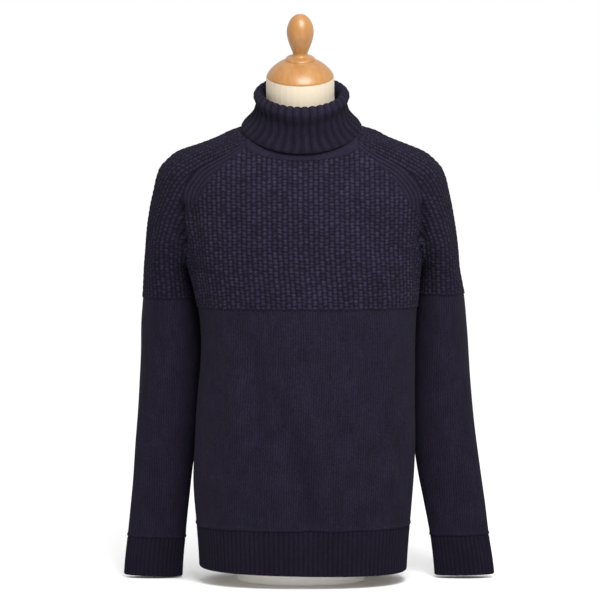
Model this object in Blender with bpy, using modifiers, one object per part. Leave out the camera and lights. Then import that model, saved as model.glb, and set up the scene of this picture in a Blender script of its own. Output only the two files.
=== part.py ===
# Turtleneck sweater worn by a limbless dress form.
# Metres, +Z up, the front faces -Y, the origin is the middle of the form's underside.
# Tables are in millimetres and are scaled by MM when a mesh is made.

import math

import bmesh
import bpy
import numpy as np

MM = 0.001

# Driving sizes of the cloth
WALL = 3.0               # knitted wall
SEAM_GAP = 0.3           # between two pieces at a seam
CREASE_SPREAD = 0.2      # least sine between a piece and the middle of a crease
HEM_LOW, HEM_TOP = 21.0, 90.0
HEM_TILT = 0.018         # the hem's lower edge sinks this much for each mm to the right
YOKE_LINE = 425.0        # where the basket stitch ends on the body
SIDE_SEAM_ANGLE = 96.0   # degrees round from the middle of the front
HEM_RIBS, HEM_RIB_RISE = 120, 1.2
CUFF_RIBS, CUFF_RIB_RISE = 36, 1.0
COLLAR_RIBS, COLLAR_RIB_RISE = 42, 2.0
BODY_COLUMNS = 20        # faces across one body panel
SLEEVE_COLUMNS = 16      # faces round one sleeve

# Driving sizes of the dress form
NECK_X = -2.0            # the neck stands a little left of the middle
NECK_TILT = math.radians(18.6)
NECK_FOOT = (NECK_X, 10.0, 700.0)   # a point on the neck's leaning axis
NECK_RADIUS = 53.0
CAP_RIM_Z = 788.0
FORM_COLUMNS = 32
FORM_LOW = 25.0
FOOT_SIZE = (200.0, 140.0)
PART_GAP = 0.3           # between two pieces of the form

# Outer face of the sweater's body, one row a height
# height, left, right, front, back, squareness
BODY = (
    (20.0, -160.0, 165.0, -113.0, 111.0, 2.40),
    (50.0, -161.5, 166.8, -113.0, 111.0, 2.40),
    (90.0, -164.5, 170.0, -113.5, 110.0, 2.40),
    (167.0, -169.0, 176.0, -115.0, 108.0, 2.40),
    (206.0, -167.7, 177.5, -115.0, 106.0, 2.40),
    (299.0, -162.0, 177.3, -115.5, 103.0, 2.40),
    (338.0, -158.3, 177.6, -116.0, 103.0, 2.40),
    (380.0, -156.8, 177.7, -117.0, 104.0, 2.40),
    (429.0, -161.5, 179.7, -118.5, 106.0, 2.40),
    (459.0, -168.0, 183.0, -119.0, 107.0, 2.40),
    (487.0, -175.5, 185.7, -119.0, 108.0, 2.40),
    (518.0, -183.0, 189.0, -118.5, 108.5, 2.38),
    (565.0, -196.0, 198.0, -116.0, 108.5, 2.32),
    (611.0, -208.5, 209.0, -107.5, 106.5, 2.20),
    (635.0, -214.0, 213.0, -99.0, 103.0, 2.00),
    (650.0, -213.0, 211.0, -92.5, 99.5, 1.90),
    (660.0, -207.0, 205.5, -87.5, 96.5, 1.85),
    (672.0, -191.0, 190.0, -80.5, 93.0, 1.82),
    (684.0, -157.5, 161.5, -70.0, 89.5, 1.80),
    (695.0, -130.5, 134.0, -55.5, 87.0, 1.85),
    (705.0, -110.0, 114.0, -38.0, 84.0, 1.90),
    (712.5, -88.0, 89.5, -18.0, 81.0, 1.95),
    (722.0, -72.0, 72.0, 8.0, 77.5, 2.00),
    (730.0, -54.0, 54.0, 31.0, 74.0, 2.00),
    (735.0, -22.0, 22.0, 48.0, 66.0, 2.00),
)

# Outer face of each sleeve below the shoulder, one row a height
# height, outer edge, inner edge, middle of its depth, half its depth
SLEEVE_LEFT = (
    (-10.0, -281.5, -188.0, 28.0, 18.0),
    (26.0, -279.0, -186.4, 28.0, 18.0),
    (73.0, -274.0, -182.0, 30.0, 20.0),
    (120.0, -269.5, -177.3, 33.0, 25.0),
    (167.0, -265.0, -172.6, 37.0, 31.0),
    (213.0, -261.8, -166.0, 41.0, 36.5),
    (260.0, -258.6, -161.0, 43.0, 41.0),
    (307.0, -256.0, -157.0, 45.0, 46.0),
    (354.0, -254.2, -153.0, 47.0, 51.0),
    (401.0, -253.2, -155.5, 45.0, 57.0),
    (448.0, -249.6, -164.0, 44.0, 61.0),
    (471.0, -248.4, -170.6, 42.0, 63.0),
    (487.0, -247.3, -174.5, 37.0, 65.0),
    (518.0, -244.0, -170.0, 26.0, 69.0),
    (565.0, -239.2, -152.0, 14.0, 67.5),
    (611.0, -229.3, -140.0, 9.0, 60.0),
    (635.0, -218.5, -140.0, 6.0, 52.0),
    (650.0, -207.0, -145.0, 5.0, 43.0),
    (664.0, -182.0, -150.0, 5.0, 24.0),
)
SLEEVE_RIGHT = (
    (-10.0, 306.5, 211.0, 26.0, 18.5),
    (26.0, 302.5, 208.0, 26.0, 18.5),
    (73.0, 295.5, 202.0, 28.0, 20.5),
    (120.0, 290.0, 193.5, 32.0, 25.5),
    (167.0, 283.0, 183.8, 37.0, 31.5),
    (213.0, 277.0, 177.5, 41.0, 37.0),
    (260.0, 271.5, 174.8, 43.0, 41.5),
    (307.0, 267.5, 173.2, 45.0, 46.0),
    (354.0, 264.5, 173.6, 47.0, 51.0),
    (401.0, 261.0, 175.6, 45.0, 57.0),
    (448.0, 256.5, 180.6, 44.0, 61.0),
    (471.0, 252.0, 183.6, 42.0, 63.0),
    (487.0, 248.5, 184.8, 37.0, 65.0),
    (518.0, 244.8, 176.0, 26.0, 69.0),
    (565.0, 238.0, 156.0, 14.0, 67.5),
    (611.0, 228.0, 142.0, 9.0, 60.0),
    (635.0, 217.5, 140.0, 6.0, 52.0),
    (650.0, 206.0, 145.0, 5.0, 43.0),
    (664.0, 182.0, 150.0, 5.0, 24.0),
)

# How softly the sleeves run into the body: height, radius of the blend
BLEND = (
    (470.0, 4.0),
    (480.0, 4.4),
    (487.0, 5.6),
    (503.0, 8.0),
    (518.0, 10.0),
    (560.0, 18.0),
    (600.0, 30.0),
    (640.0, 30.0),
    (680.0, 12.0),
)

# Seams of the saddle and the armhole, one row a station from the neck to the armpit:
# front seam's x left and right and its height, back seam's the same,
# the sleeve's axis there (x left, y, height), how steeply the sleeve's outside rises in degrees,
# and how far a row of the front and of the back dips in the middle
STATIONS = (
    (-84.0, 86.0, 686.0, -74.0, 75.0, 715.0, -68.0, 5.0, 676.0, 60.0, 29.0, -15.0),
    (-105.0, 107.0, 674.5, -98.0, 99.0, 703.0, -96.0, 4.0, 664.0, 72.0, 23.5, -13.0),
    (-130.0, 132.0, 660.8, -125.0, 126.0, 689.5, -122.0, 3.0, 650.0, 76.0, 16.8, -11.0),
    (-154.0, 155.0, 648.0, -151.0, 152.0, 675.0, -146.0, 3.0, 635.0, 70.0, 11.0, -9.0),
    (-173.0, 174.0, 635.0, -173.0, 174.0, 657.0, -164.0, 4.0, 618.0, 54.0, 7.0, -7.0),
    (-181.0, 184.0, 611.0, -184.0, 187.0, 631.0, -172.0, 6.0, 602.0, 38.0, 4.0, -4.0),
    (-183.5, 188.0, 586.0, -184.5, 189.0, 602.0, -180.0, 9.0, 583.0, 24.0, 2.0, -2.0),
    (-182.5, 187.5, 561.0, -180.0, 185.0, 574.0, -187.0, 12.0, 563.0, 14.0, 1.0, 0.0),
    (-181.0, 186.5, 539.0, -176.0, 181.5, 547.0, -194.0, 14.0, 542.0, 7.0, 0.0, 0.0),
    (-180.0, 186.0, 519.0, -171.2, 179.0, 522.0, -203.0, 22.0, 520.0, 3.0, 0.0, 0.0),
    (-179.0, 187.1, 503.0, -172.0, 181.0, 503.0, -208.0, 27.0, 503.0, 0.0, 0.0, 0.0),
)
# A point in the gap between body and sleeve, straight below the lowest point of each armhole
ARMPIT_LEFT = (-174.2, 18.0, 481.0)
ARMPIT_RIGHT = (185.0, 17.5, 480.0)
DOWN = (0.0, 0.0, -1.0)          # the cloth's outside faces down at the armpit's point
AHEAD = np.array((0.0, -1.0, 0.0))
REACH = 260.0                    # rays that look for the cloth go no farther
ARMPIT_REACH = 40.0
LEAN_HEIGHT = 300.0              # rows of a sleeve lean more and more over this height
NECKLINE_POWER = 2.1             # how round the front neckline is

# Heights of the rows of faces below the armpit
BODY_ROWS = (HEM_TOP, 128.0, 167.0, 210.0, 255.0, 299.0, 342.0, 384.0, YOKE_LINE, 457.0)
SLEEVE_ROWS = (466.0, 440.0, 412.0, 380.0, 347.0, 313.0, 278.0, 243.0, 207.0, 171.0, 136.0, 102.0)

# Cuffs: height of the axis at the rib's top and lower edge, lean of the lower edge
# cuff top, cuff low, lean (rise of the outer corner for each mm out)
CUFF_LEFT = (64.5, 3.6, 0.03)
CUFF_RIGHT = (68.0, 5.2, 0.02)

# Soft folds pressed into the body: start x and height, end x and height, half width, depth, face
FRONT, BACK = -1.0, 1.0
FACE_DEPTH = 40.0                # a fold fades out this near to the side
FOLDS = (
    (-12.0, 305.0, 22.0, 95.0, 26.0, 3.2, FRONT),
    (-78.0, 415.0, -86.0, 290.0, 20.0, 2.2, FRONT),
    (106.0, 410.0, 98.0, 300.0, 20.0, 2.0, FRONT),
    (-150.0, 505.0, -95.0, 560.0, 16.0, 2.2, FRONT),
    (150.0, 510.0, 100.0, 560.0, 16.0, 2.0, FRONT),
    (64.0, 190.0, 80.0, 95.0, 20.0, 1.8, FRONT),
    (-96.0, 200.0, -88.0, 95.0, 22.0, 1.8, FRONT),
    (-70.0, 430.0, -58.0, 250.0, 24.0, 2.8, BACK),
    (62.0, 420.0, 72.0, 240.0, 24.0, 2.8, BACK),
    (4.0, 280.0, -6.0, 100.0, 26.0, 3.0, BACK),
    (-145.0, 520.0, -90.0, 585.0, 18.0, 2.4, BACK),
    (145.0, 520.0, 92.0, 580.0, 18.0, 2.4, BACK),
)

# Rings of the neck: half width, front and back y, height at front, side and back
# The collar runs from the edge of its outer fall over the roll and down inside.
COLLAR = (
    (91.0, -94.0, 88.0, 667.0, 717.0, 740.0),
    (80.5, -89.0, 82.0, 681.0, 727.0, 749.0),
    (73.0, -83.0, 76.0, 701.0, 738.0, 761.0),
    (70.0, -80.5, 71.5, 720.0, 750.0, 774.0),
    (72.5, -82.5, 72.5, 731.5, 759.5, 784.0),
    (66.5, -76.0, 66.0, 738.0, 766.0, 790.0),
    (60.5, -69.5, 59.5, 731.5, 760.0, 784.5),
    (60.5, -69.5, 58.5, 710.0, 744.0, 767.0),
    (67.5, -77.5, 67.0, 676.5, 713.0, 740.0),
)
BAND_ROLL = 1.0                  # how far the neck band's middle stands out
BAND_DROP = 1.1                  # seam below the collar, whose edge has other corners

# Covered torso of the form: height, how far it lies inside the sweater's outer face
FORM_INSET = (
    (25.0, 20.0),
    (60.0, 18.5),
    (240.0, 17.0),
    (429.0, 15.0),
    (480.0, 13.5),
    (520.0, 11.0),
    (560.0, 9.0),
    (600.0, 7.0),
    (645.0, 5.8),
    (705.0, 5.8),
)
FORM_ROWS = (34.0, 90.0, 160.0, 240.0, 320.0, 390.0, 450.0, 500.0, 545.0, 585.0, 615.0,
             636.0, 651.0, 663.0, 674.0, 685.0, 695.0, 703.0)
# Rings of its neck: half width, front and back y, height at front, side and back
FORM_NECK = (
    (69.0, -52.0, 70.0, 690.0, 705.0, 717.0),
    (56.0, -50.5, 60.0, 704.0, 721.0, 737.0),
    (54.0, -55.5, 54.0, 722.0, 741.0, 759.0),
    (53.0, -62.0, 45.5, 744.0, 762.0, 780.0),
)

# Turned cap: radius and height above its rim along the leaning axis
CAP_PROFILE = (
    (0.0, 102.8), (5.5, 101.9), (10.6, 99.0), (15.2, 93.8), (18.9, 86.0), (20.7, 77.0),
    (20.4, 68.5), (18.0, 58.0), (14.6, 48.0), (12.0, 41.5), (11.5, 37.5), (13.0, 34.4),
    (18.5, 32.6), (21.8, 30.6), (22.4, 28.4), (21.4, 26.4), (26.0, 24.6), (34.0, 20.6),
    (42.0, 14.4), (48.0, 8.0), (51.2, 3.2), (52.0, 0.6), (51.4, 0.0), (0.0, 0.0),
)
CAP_STEPS = 28


# --- tables and fields -------------------------------------------------------

def smooth(rows):
    """Makes a smooth function of a table's first column, which returns its other columns."""
    data = np.array(rows, float)
    at, values = data[:, 0], data[:, 1:]
    slopes = np.gradient(values, at, axis=0)

    def read(x):
        x = np.clip(x, at[0], at[-1])
        k = np.clip(np.searchsorted(at, x, side="right") - 1, 0, len(at) - 2)
        width = (at[k + 1] - at[k])[..., None]
        t = (x - at[k])[..., None] / width
        rise = values[k + 1] * t * t * (3 - 2 * t) + values[k] * (1 - t) ** 2 * (1 + 2 * t)
        bend = slopes[k] * t * (1 - t) ** 2 - slopes[k + 1] * t * t * (1 - t)
        return rise + bend * width

    return read


body_at = smooth(BODY)
left_at = smooth(SLEEVE_LEFT)
right_at = smooth(SLEEVE_RIGHT)
blend_at = smooth(BLEND)
inset_at = smooth(FORM_INSET)


def oval_distance(points, mid_x, mid_y, half_x, half_y, squareness):
    """Radial distance from points to a level oval, negative inside."""
    x, y = points[..., 0] - mid_x, points[..., 1] - mid_y
    reach = np.hypot(x, y) + 1e-9
    size = (np.abs(x / half_x) ** squareness + np.abs(y / half_y) ** squareness)
    return reach * (1 - 1 / np.maximum(size, 1e-9) ** (1 / squareness))


def body_shape(z):
    left, right, front, back, squareness = np.moveaxis(body_at(z), -1, 0)
    return (left + right) / 2, (front + back) / 2, (right - left) / 2, (back - front) / 2, squareness


def body_field(points):
    return oval_distance(points, *body_shape(points[..., 2]))


def sleeve_shape(sleeve_at, z):
    outer, inner, middle, half_depth = np.moveaxis(sleeve_at(z), -1, 0)
    return (outer + inner) / 2, middle, np.abs(outer - inner) / 2, half_depth


def sleeve_field(sleeve_at):
    def field(points):
        above = np.maximum(points[..., 2] - SLEEVE_LEFT[-1][0], 0.0)
        return oval_distance(points, *sleeve_shape(sleeve_at, points[..., 2]), 2.0) + 2.0 * above
    return field


left_field, right_field = sleeve_field(left_at), sleeve_field(right_at)


def garment_field(points):
    """Body and sleeves run softly together, negative inside."""
    body = body_field(points)
    sleeves = np.minimum(left_field(points), right_field(points))
    radius = blend_at(points[..., 2])[..., 0]
    share = np.clip(1 - np.abs(body - sleeves) / radius, 0, 1)
    return np.minimum(body, sleeves) - share ** 2 * radius / 4


def unit(vectors):
    return vectors / np.maximum(np.linalg.norm(vectors, axis=-1, keepdims=True), 1e-12)


def normals_of(field, points, step=0.2):
    axes = np.eye(3) * step
    return unit(np.stack([field(points + a) - field(points - a) for a in axes], axis=-1))


def cast(field, starts, directions, reach, outwards=True, steps=140):
    """First place along each ray where the field changes sign."""
    starts, directions = np.broadcast_arrays(starts, unit(directions))
    sign = 1.0 if outwards else -1.0
    low = np.zeros(starts.shape[:-1])
    high = np.full(starts.shape[:-1], float(reach))
    found = np.zeros(starts.shape[:-1], bool)
    for t in np.linspace(0, reach, steps + 1)[1:]:
        past = sign * field(starts + directions * t) > 0
        high = np.where(past & ~found, t, high)
        found |= past
        low = np.where(found, low, t)
    for _ in range(34):
        middle = (low + high) / 2
        past = sign * field(starts + directions * middle[..., None]) > 0
        low, high = np.where(past, low, middle), np.where(past, middle, high)
    return starts + directions * ((low + high) / 2)[..., None]


def fold_depth(points):
    """How deep the soft folds press the cloth in at each point."""
    depth = np.zeros(points.shape[:-1])
    flat = points[..., (0, 2)]
    for x0, z0, x1, z1, half_width, press, face in FOLDS:
        start, run = np.array((x0, z0)), np.array((x1 - x0, z1 - z0))
        along = ((flat - start) @ run) / (run @ run)
        nearest = start + np.clip(along, 0, 1)[..., None] * run
        across = np.linalg.norm(flat - nearest, axis=-1)
        facing = np.clip(points[..., 1] * face / FACE_DEPTH, 0, 1)
        depth += press * np.exp(-(across / half_width) ** 2) * facing
    return depth


# --- seams -------------------------------------------------------------------

def seam_points(mirror):
    """Front and back seam of one sleeve, from the neck to the armpit."""
    rows = np.array(STATIONS)
    left = mirror < 0
    front_xz = rows[:, (0 if left else 1, 2)]
    back_xz = rows[:, (3 if left else 4, 5)]
    before = np.column_stack((front_xz[:, 0], np.full(len(rows), -REACH / 2), front_xz[:, 1]))
    behind = np.column_stack((back_xz[:, 0], np.full(len(rows), REACH / 2), back_xz[:, 1]))
    front = cast(garment_field, before, -AHEAD, REACH, outwards=False)
    back = cast(garment_field, behind, AHEAD, REACH, outwards=False)
    below = np.array((ARMPIT_LEFT if left else ARMPIT_RIGHT,))
    armpit = cast(garment_field, below, -np.array(DOWN), ARMPIT_REACH, outwards=False)
    return np.vstack((front, armpit)), np.vstack((back, armpit))


# --- grids of points ---------------------------------------------------------

def body_rows(face, left_seam, right_seam, dips):
    """Grid of one body panel, from the hem rib to the neckline, and its normals."""
    side = math.radians(SIDE_SEAM_ANGLE if face == FRONT else 180 - SIDE_SEAM_ANGLE)
    turns = np.linspace(-1, 1, BODY_COLUMNS + 1)
    points, normals = [], []
    for z in BODY_ROWS:
        mid_x, mid_y, half_x, half_y, _ = body_shape(np.float64(z))
        angles = turns * side
        across = np.column_stack((half_x * np.sin(angles), face * half_y * np.cos(angles), 0 * angles))
        row = cast(body_field, np.array((mid_x, mid_y, z)), across, REACH)
        points.append(row)
        normals.append(normals_of(body_field, row))
    for left, right, dip in zip(left_seam[::-1], right_seam[::-1], dips[::-1]):
        mean_z = (left[2] + right[2]) / 2
        mid_x, mid_y, half_x, half_y, _ = body_shape(np.float64(mean_z - dip / 2))
        ends = [math.atan2((p[0] - mid_x) / half_x, face * (p[1] - mid_y) / half_y) for p in (left, right)]
        angles = ends[0] + (ends[1] - ends[0]) * (turns + 1) / 2
        middle = (np.abs(turns)) ** NECKLINE_POWER
        z = left[2] + (right[2] - left[2]) * (turns + 1) / 2 - dip * (1 - middle)
        starts = np.column_stack((0 * z + mid_x, 0 * z + mid_y, z))
        across = np.column_stack((half_x * np.sin(angles), face * half_y * np.cos(angles), 0 * z))
        row = cast(garment_field, starts, across, REACH)
        row[0], row[-1] = left, right
        points.append(row)
        normals.append(normals_of(garment_field, row))
    normals[len(BODY_ROWS)][[0, -1]] = DOWN
    return np.array(points), np.array(normals)


def fan(axis, outside, depth_share, front, back):
    """Directions from the sleeve's axis, from the front seam over the outside to the back seam."""
    ends = [unit(front - axis), unit(back - axis)]
    turns = []
    for end, forward in zip(ends, (1.0, -1.0)):
        turn = math.atan2(forward * (end @ AHEAD) / depth_share, end @ outside)
        turns.append(forward * (turn if turn > 0 else turn + 2 * math.pi))
    share = np.linspace(0, 1, SLEEVE_COLUMNS + 1)
    angles = turns[0] + (turns[1] - turns[0]) * share
    plane = unit(np.outer(np.cos(angles), outside) + depth_share * np.outer(np.sin(angles), AHEAD))
    for end, weight in ((0, np.clip(1 - 2 * share, 0, 1)), (-1, np.clip(2 * share - 1, 0, 1))):
        plane = plane + np.outer(weight, ends[end] - plane[end])
    return unit(plane)


def sleeve_rows(mirror, front_seam, back_seam, cuff):
    """Grid of one sleeve, from the neck over the shoulder to the cuff, and its normals."""
    sleeve_at, field = (left_at, left_field) if mirror < 0 else (right_at, right_field)
    points, normals = [], []
    for row, front, back in zip(STATIONS, front_seam, back_seam):
        axis = np.array((-mirror * row[6], row[7], row[8]))
        rise = math.radians(row[9])
        outside = np.array((mirror * math.cos(rise), 0.0, math.sin(rise)))
        share = 1.0 + 0.6 * math.cos(rise) ** 2
        line = cast(garment_field, axis, fan(axis, outside, share, front, back), REACH)
        line[0], line[-1] = front, back
        points.append(line)
        normals.append(normals_of(garment_field, line))
    armpit = front_seam[-1]
    cuff_top, _, lean = cuff
    heights = (armpit[2],) + SLEEVE_ROWS + (cuff_top,)
    for z in heights:
        mid_x, mid_y, half_x, half_y = sleeve_shape(sleeve_at, np.float64(z))
        slope = lean * np.clip((heights[0] - z) / LEAN_HEIGHT, 0, 1)
        outside = unit(np.array((mirror, 0.0, slope)))
        angles = np.linspace(math.pi, -math.pi, SLEEVE_COLUMNS + 1)
        rays = half_x * np.outer(np.cos(angles), outside) + half_y * np.outer(np.sin(angles), AHEAD)
        line = cast(field, np.array((mid_x, mid_y, z)), rays, REACH)
        normal = normals_of(field, line)
        if z == armpit[2]:
            line[0] = line[-1] = armpit
            normal[0] = DOWN
        line[-1], normal[-1] = line[0], normal[0]
        points.append(line)
        normals.append(normal)
    return np.array(points), np.array(normals)


def ring(row, angles, mid_x=0.0):
    """Points of a neck ring, from the front round by the left."""
    half_width, y_front, y_back, z_front, z_side, z_back = row
    mid_y, half_y = (y_front + y_back) / 2, (y_back - y_front) / 2
    c = np.cos(angles)
    tilt, crown = (z_front - z_back) / 2, (z_front + z_back) / 2 - z_side
    return np.column_stack((mid_x - half_width * np.sin(angles), mid_y - half_y * c,
                            z_side + tilt * c + crown * c * c))


def collar_grid(angles):
    """The face of the collar's strip at these angles, and its normals."""
    base = np.array([ring(row, angles) for row in COLLAR])
    turned = np.array([ring(row, angles + 0.01) for row in COLLAR])
    return base, unit(np.cross(np.gradient(base, axis=0), turned - base))


# --- meshes ------------------------------------------------------------------

def new_object(name, vertices, faces, material):
    mesh = bpy.data.meshes.new(name)
    mesh.from_pydata([tuple(v) for v in np.asarray(vertices) * MM], [], faces)
    mesh.update()
    thing = bpy.data.objects.new(name, mesh)
    collection.objects.link(thing)
    mesh.materials.append(material)
    weld_and_orient(mesh)
    mesh.shade_smooth()
    mesh.set_sharp_from_angle(angle=math.radians(40))
    return thing


def weld_and_orient(mesh):
    bm = bmesh.new()
    bm.from_mesh(mesh)
    bmesh.ops.remove_doubles(bm, verts=bm.verts, dist=1e-6)
    bmesh.ops.recalc_face_normals(bm, faces=bm.faces)
    bm.to_mesh(mesh)
    bm.free()


def strip(fine, coarse, falling=False):
    """Triangles between two edges that share their ends, one with more points than the other.

    Facing rims at a seam need the same diagonals, so one whose rows run down says so.
    """
    faces = []
    ratio = (len(fine) - 1) // (len(coarse) - 1)
    half = (ratio + falling) // 2
    for k in range(len(coarse) - 1):
        near, far = coarse[k], coarse[k + 1]
        piece = fine[k * ratio:(k + 1) * ratio + 1]
        faces += [(a, b, near) for a, b in zip(piece[:half], piece[1:half + 1])]
        faces.append((piece[half], far, near))
        faces += [(a, b, far) for a, b in zip(piece[half:], piece[half + 1:])]
    return faces


def wall(name, outer, inner, material, closed=False, falling=False):
    """A closed wall between a grid of outer points and a coarser grid of inner points.

    Both grids have the same corners. Edges that lie on each other, as along a tube's seam,
    have no rim and are welded.
    """
    def number(grid, start):
        rows, columns = grid.shape[:2]
        ids = np.arange(rows * columns).reshape(rows, columns) + start
        return np.column_stack((ids, ids[:, 0])) if closed else ids

    out_ids = number(outer, 0)
    in_ids = number(inner, outer.shape[0] * outer.shape[1])
    faces = []
    for ids, flip in ((out_ids, False), (in_ids, True)):
        for a, b in zip(ids[:-1], ids[1:]):
            for k in range(len(a) - 1):
                quad = (a[k], a[k + 1], b[k + 1], b[k])
                faces.append(quad[::-1] if flip else quad)
    faces += strip(out_ids[0], in_ids[0]) + strip(out_ids[-1], in_ids[-1])
    if not closed:
        meets = np.linalg.norm(outer[:, 0] - outer[:, -1], axis=-1) < 1e-6
        open_rows = len(meets) if not meets.any() else int(np.argmax(meets)) + 1
        for column in (0, -1):
            faces += strip(out_ids[:open_rows, column], in_ids[:open_rows, column], falling)
    vertices = np.vstack((outer.reshape(-1, 3), inner.reshape(-1, 3)))
    return new_object(name, vertices, [tuple(int(v) for v in f) for f in faces], material)


def trim(points, normals, borders):
    """Draws the named borders of a grid back by half a seam's gap."""
    moved = points.copy()
    for border in borders:
        edge, next_edge = {
            "first_row": ((0, slice(None)), (1, slice(None))),
            "last_row": ((-1, slice(None)), (-2, slice(None))),
            "first_column": ((slice(None), 0), (slice(None), 1)),
            "last_column": ((slice(None), -1), (slice(None), -2)),
        }[border]
        along = unit(np.gradient(points[edge], axis=0))
        inwards = points[next_edge] - points[edge]
        inwards = unit(inwards - along * np.sum(along * inwards, axis=-1, keepdims=True))
        # In a narrow crease both pieces run nearly the same way, so they draw back further.
        spread = np.linalg.norm(np.cross(inwards, normals[edge]), axis=-1, keepdims=True)
        moved[edge] += inwards * SEAM_GAP / 2 / np.maximum(spread, CREASE_SPREAD)
    return moved


def draped(points, normals):
    return points - normals * fold_depth(points)[..., None]


def panel(name, points, normals, material, borders):
    outer = draped(trim(points, normals, borders), normals)
    inner = (outer - normals * WALL)[:, ::2]
    return wall(name, outer, inner, material)


def ribs(columns_each, count):
    """How far each column round a ribbed band stands out, as a share of the rib's rise."""
    pattern = {2: (0.0, 1.0), 3: (0.0, 1.0, 1.0)}[columns_each]
    return np.tile(pattern, count)


# --- the garment -------------------------------------------------------------

def make_body(seams):
    rows = np.array(STATIONS)
    (left_front, left_back), (right_front, right_back) = seams
    necklines = []
    for name, face, left, right, dips in (("front", FRONT, left_front, right_front, rows[:, 10]),
                                          ("back", BACK, left_back, right_back, rows[:, 11])):
        points, normals = body_rows(face, left, right, np.append(dips, 0.0))
        panel(name, points, normals, knit, ("first_row", "last_row", "first_column", "last_column"))
        necklines.append((points[-1], normals[-1]))
    return necklines


def make_sleeve(name, mirror, seams, cuff):
    points, normals = sleeve_rows(mirror, *seams, cuff)
    armhole = len(STATIONS)
    moved = trim(points, normals, ("first_row", "last_row"))
    both = trim(points[:armhole + 1], normals[:armhole + 1], ("first_column", "last_column"))
    moved[:armhole] += both[:armhole] - points[:armhole]
    moved[armhole, 0] += np.array((mirror, 0.0, -0.5)) * SEAM_GAP
    moved[armhole, -1] = moved[armhole, 0]
    moved[armhole + 1:, -1] = moved[armhole + 1:, 0]
    outer = draped(moved, normals)
    inner = (outer - normals * WALL)[:, ::2]
    wall(name, outer, inner, knit, falling=True)
    return points[0], normals[0]


def make_hem():
    """Ribbed tube at the foot of the body."""
    count = 2 * HEM_RIBS
    angles = np.linspace(0, 2 * math.pi, count, endpoint=False)
    base = []
    for z in (HEM_LOW, (HEM_LOW + HEM_TOP) / 2, HEM_TOP - SEAM_GAP / 2):
        mid_x, mid_y, half_x, half_y, _ = body_shape(np.float64(z))
        across = np.column_stack((-half_x * np.sin(angles), -half_y * np.cos(angles), 0 * angles))
        sinking = HEM_TILT * (mid_x + across[:, 0]) * (HEM_TOP - z) / (HEM_TOP - HEM_LOW)
        starts = np.column_stack((mid_x + 0 * angles, mid_y + 0 * angles, z - sinking))
        base.append(cast(body_field, starts, across, REACH))
    base = np.array(base)
    normals = normals_of(body_field, base)
    sunk = base - normals * (fold_depth(base)[..., None] + HEM_RIB_RISE)
    outer = sunk + normals * (HEM_RIB_RISE * ribs(2, HEM_RIBS))[None, :, None]
    wall("hem_rib", outer, (sunk - normals * WALL)[:, ::4], knit, closed=True)


def make_cuff(name, mirror, cuff):
    """Ribbed tube at the end of a sleeve, whose outer corner is drawn up."""
    sleeve_at, field = (left_at, left_field) if mirror < 0 else (right_at, right_field)
    cuff_top, cuff_low, lean = cuff
    angles = np.linspace(0, 2 * math.pi, 2 * CUFF_RIBS, endpoint=False)
    outside = unit(np.array((mirror, 0.0, lean)))
    base = []
    for z in (cuff_low, (cuff_low + cuff_top) / 2, cuff_top - SEAM_GAP):
        mid_x, mid_y, half_x, half_y = sleeve_shape(sleeve_at, np.float64(z))
        rays = -half_x * np.outer(np.cos(angles), outside) + half_y * np.outer(np.sin(angles), AHEAD)
        base.append(cast(field, np.array((mid_x, mid_y, z)), rays, REACH))
    base = np.array(base)
    normals = normals_of(field, base)
    sunk = base - normals * CUFF_RIB_RISE
    outer = sunk + normals * (CUFF_RIB_RISE * ribs(2, CUFF_RIBS))[None, :, None]
    wall(name, outer, (sunk - normals * WALL)[:, ::4], knit, closed=True)


def make_neck_band(necklines, saddles):
    """Rounded band between the neckline and the collar."""
    (front, front_n), (back, back_n) = necklines
    (left, left_n), (right, right_n) = saddles
    # Round from the left front corner over the left shoulder, the back, the right shoulder, the front.
    low = np.vstack((left[:-1], back[:-1], right[::-1][:-1], front[::-1][:-1]))
    low_n = np.vstack((left_n[:-1], back_n[:-1], right_n[::-1][:-1], front_n[::-1][:-1]))
    half_width, y_front, y_back = COLLAR[-1][:3]
    across = ((y_front + y_back) / 2 - low[:, 1]) * 2 / (y_back - y_front)
    angles = np.arctan2(-low[:, 0] / half_width, across)
    face, face_n = collar_grid(angles)
    drop = unit(face[-1] - face[-2]) * BAND_DROP
    high_in, high_out = face[-1] + drop, face[-1] - face_n[-1] * WALL + drop
    rise = unit(high_out - low)
    low = low + (rise - low_n * np.sum(rise * low_n, axis=1, keepdims=True)) * SEAM_GAP / 2
    middle_n = unit(low_n - face_n[-1])
    middle = (low + high_out) / 2 + middle_n * BAND_ROLL
    outer = np.array((low, middle, high_out))
    inner = np.array((low - low_n * WALL, middle - middle_n * WALL, high_in))
    wall("neck_band", outer, inner[:, ::2], knit, closed=True)


def make_collar():
    """Ribbed strip that stands up inside, rolls over and falls outside."""
    angles = np.linspace(0, 2 * math.pi, 3 * COLLAR_RIBS, endpoint=False)
    base, normals = collar_grid(angles)
    outer = base + normals * (COLLAR_RIB_RISE * ribs(3, COLLAR_RIBS))[None, :, None]
    wall("collar", outer, (base - normals * WALL)[:, ::3], knit, closed=True)


# --- the dress form ----------------------------------------------------------

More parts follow.
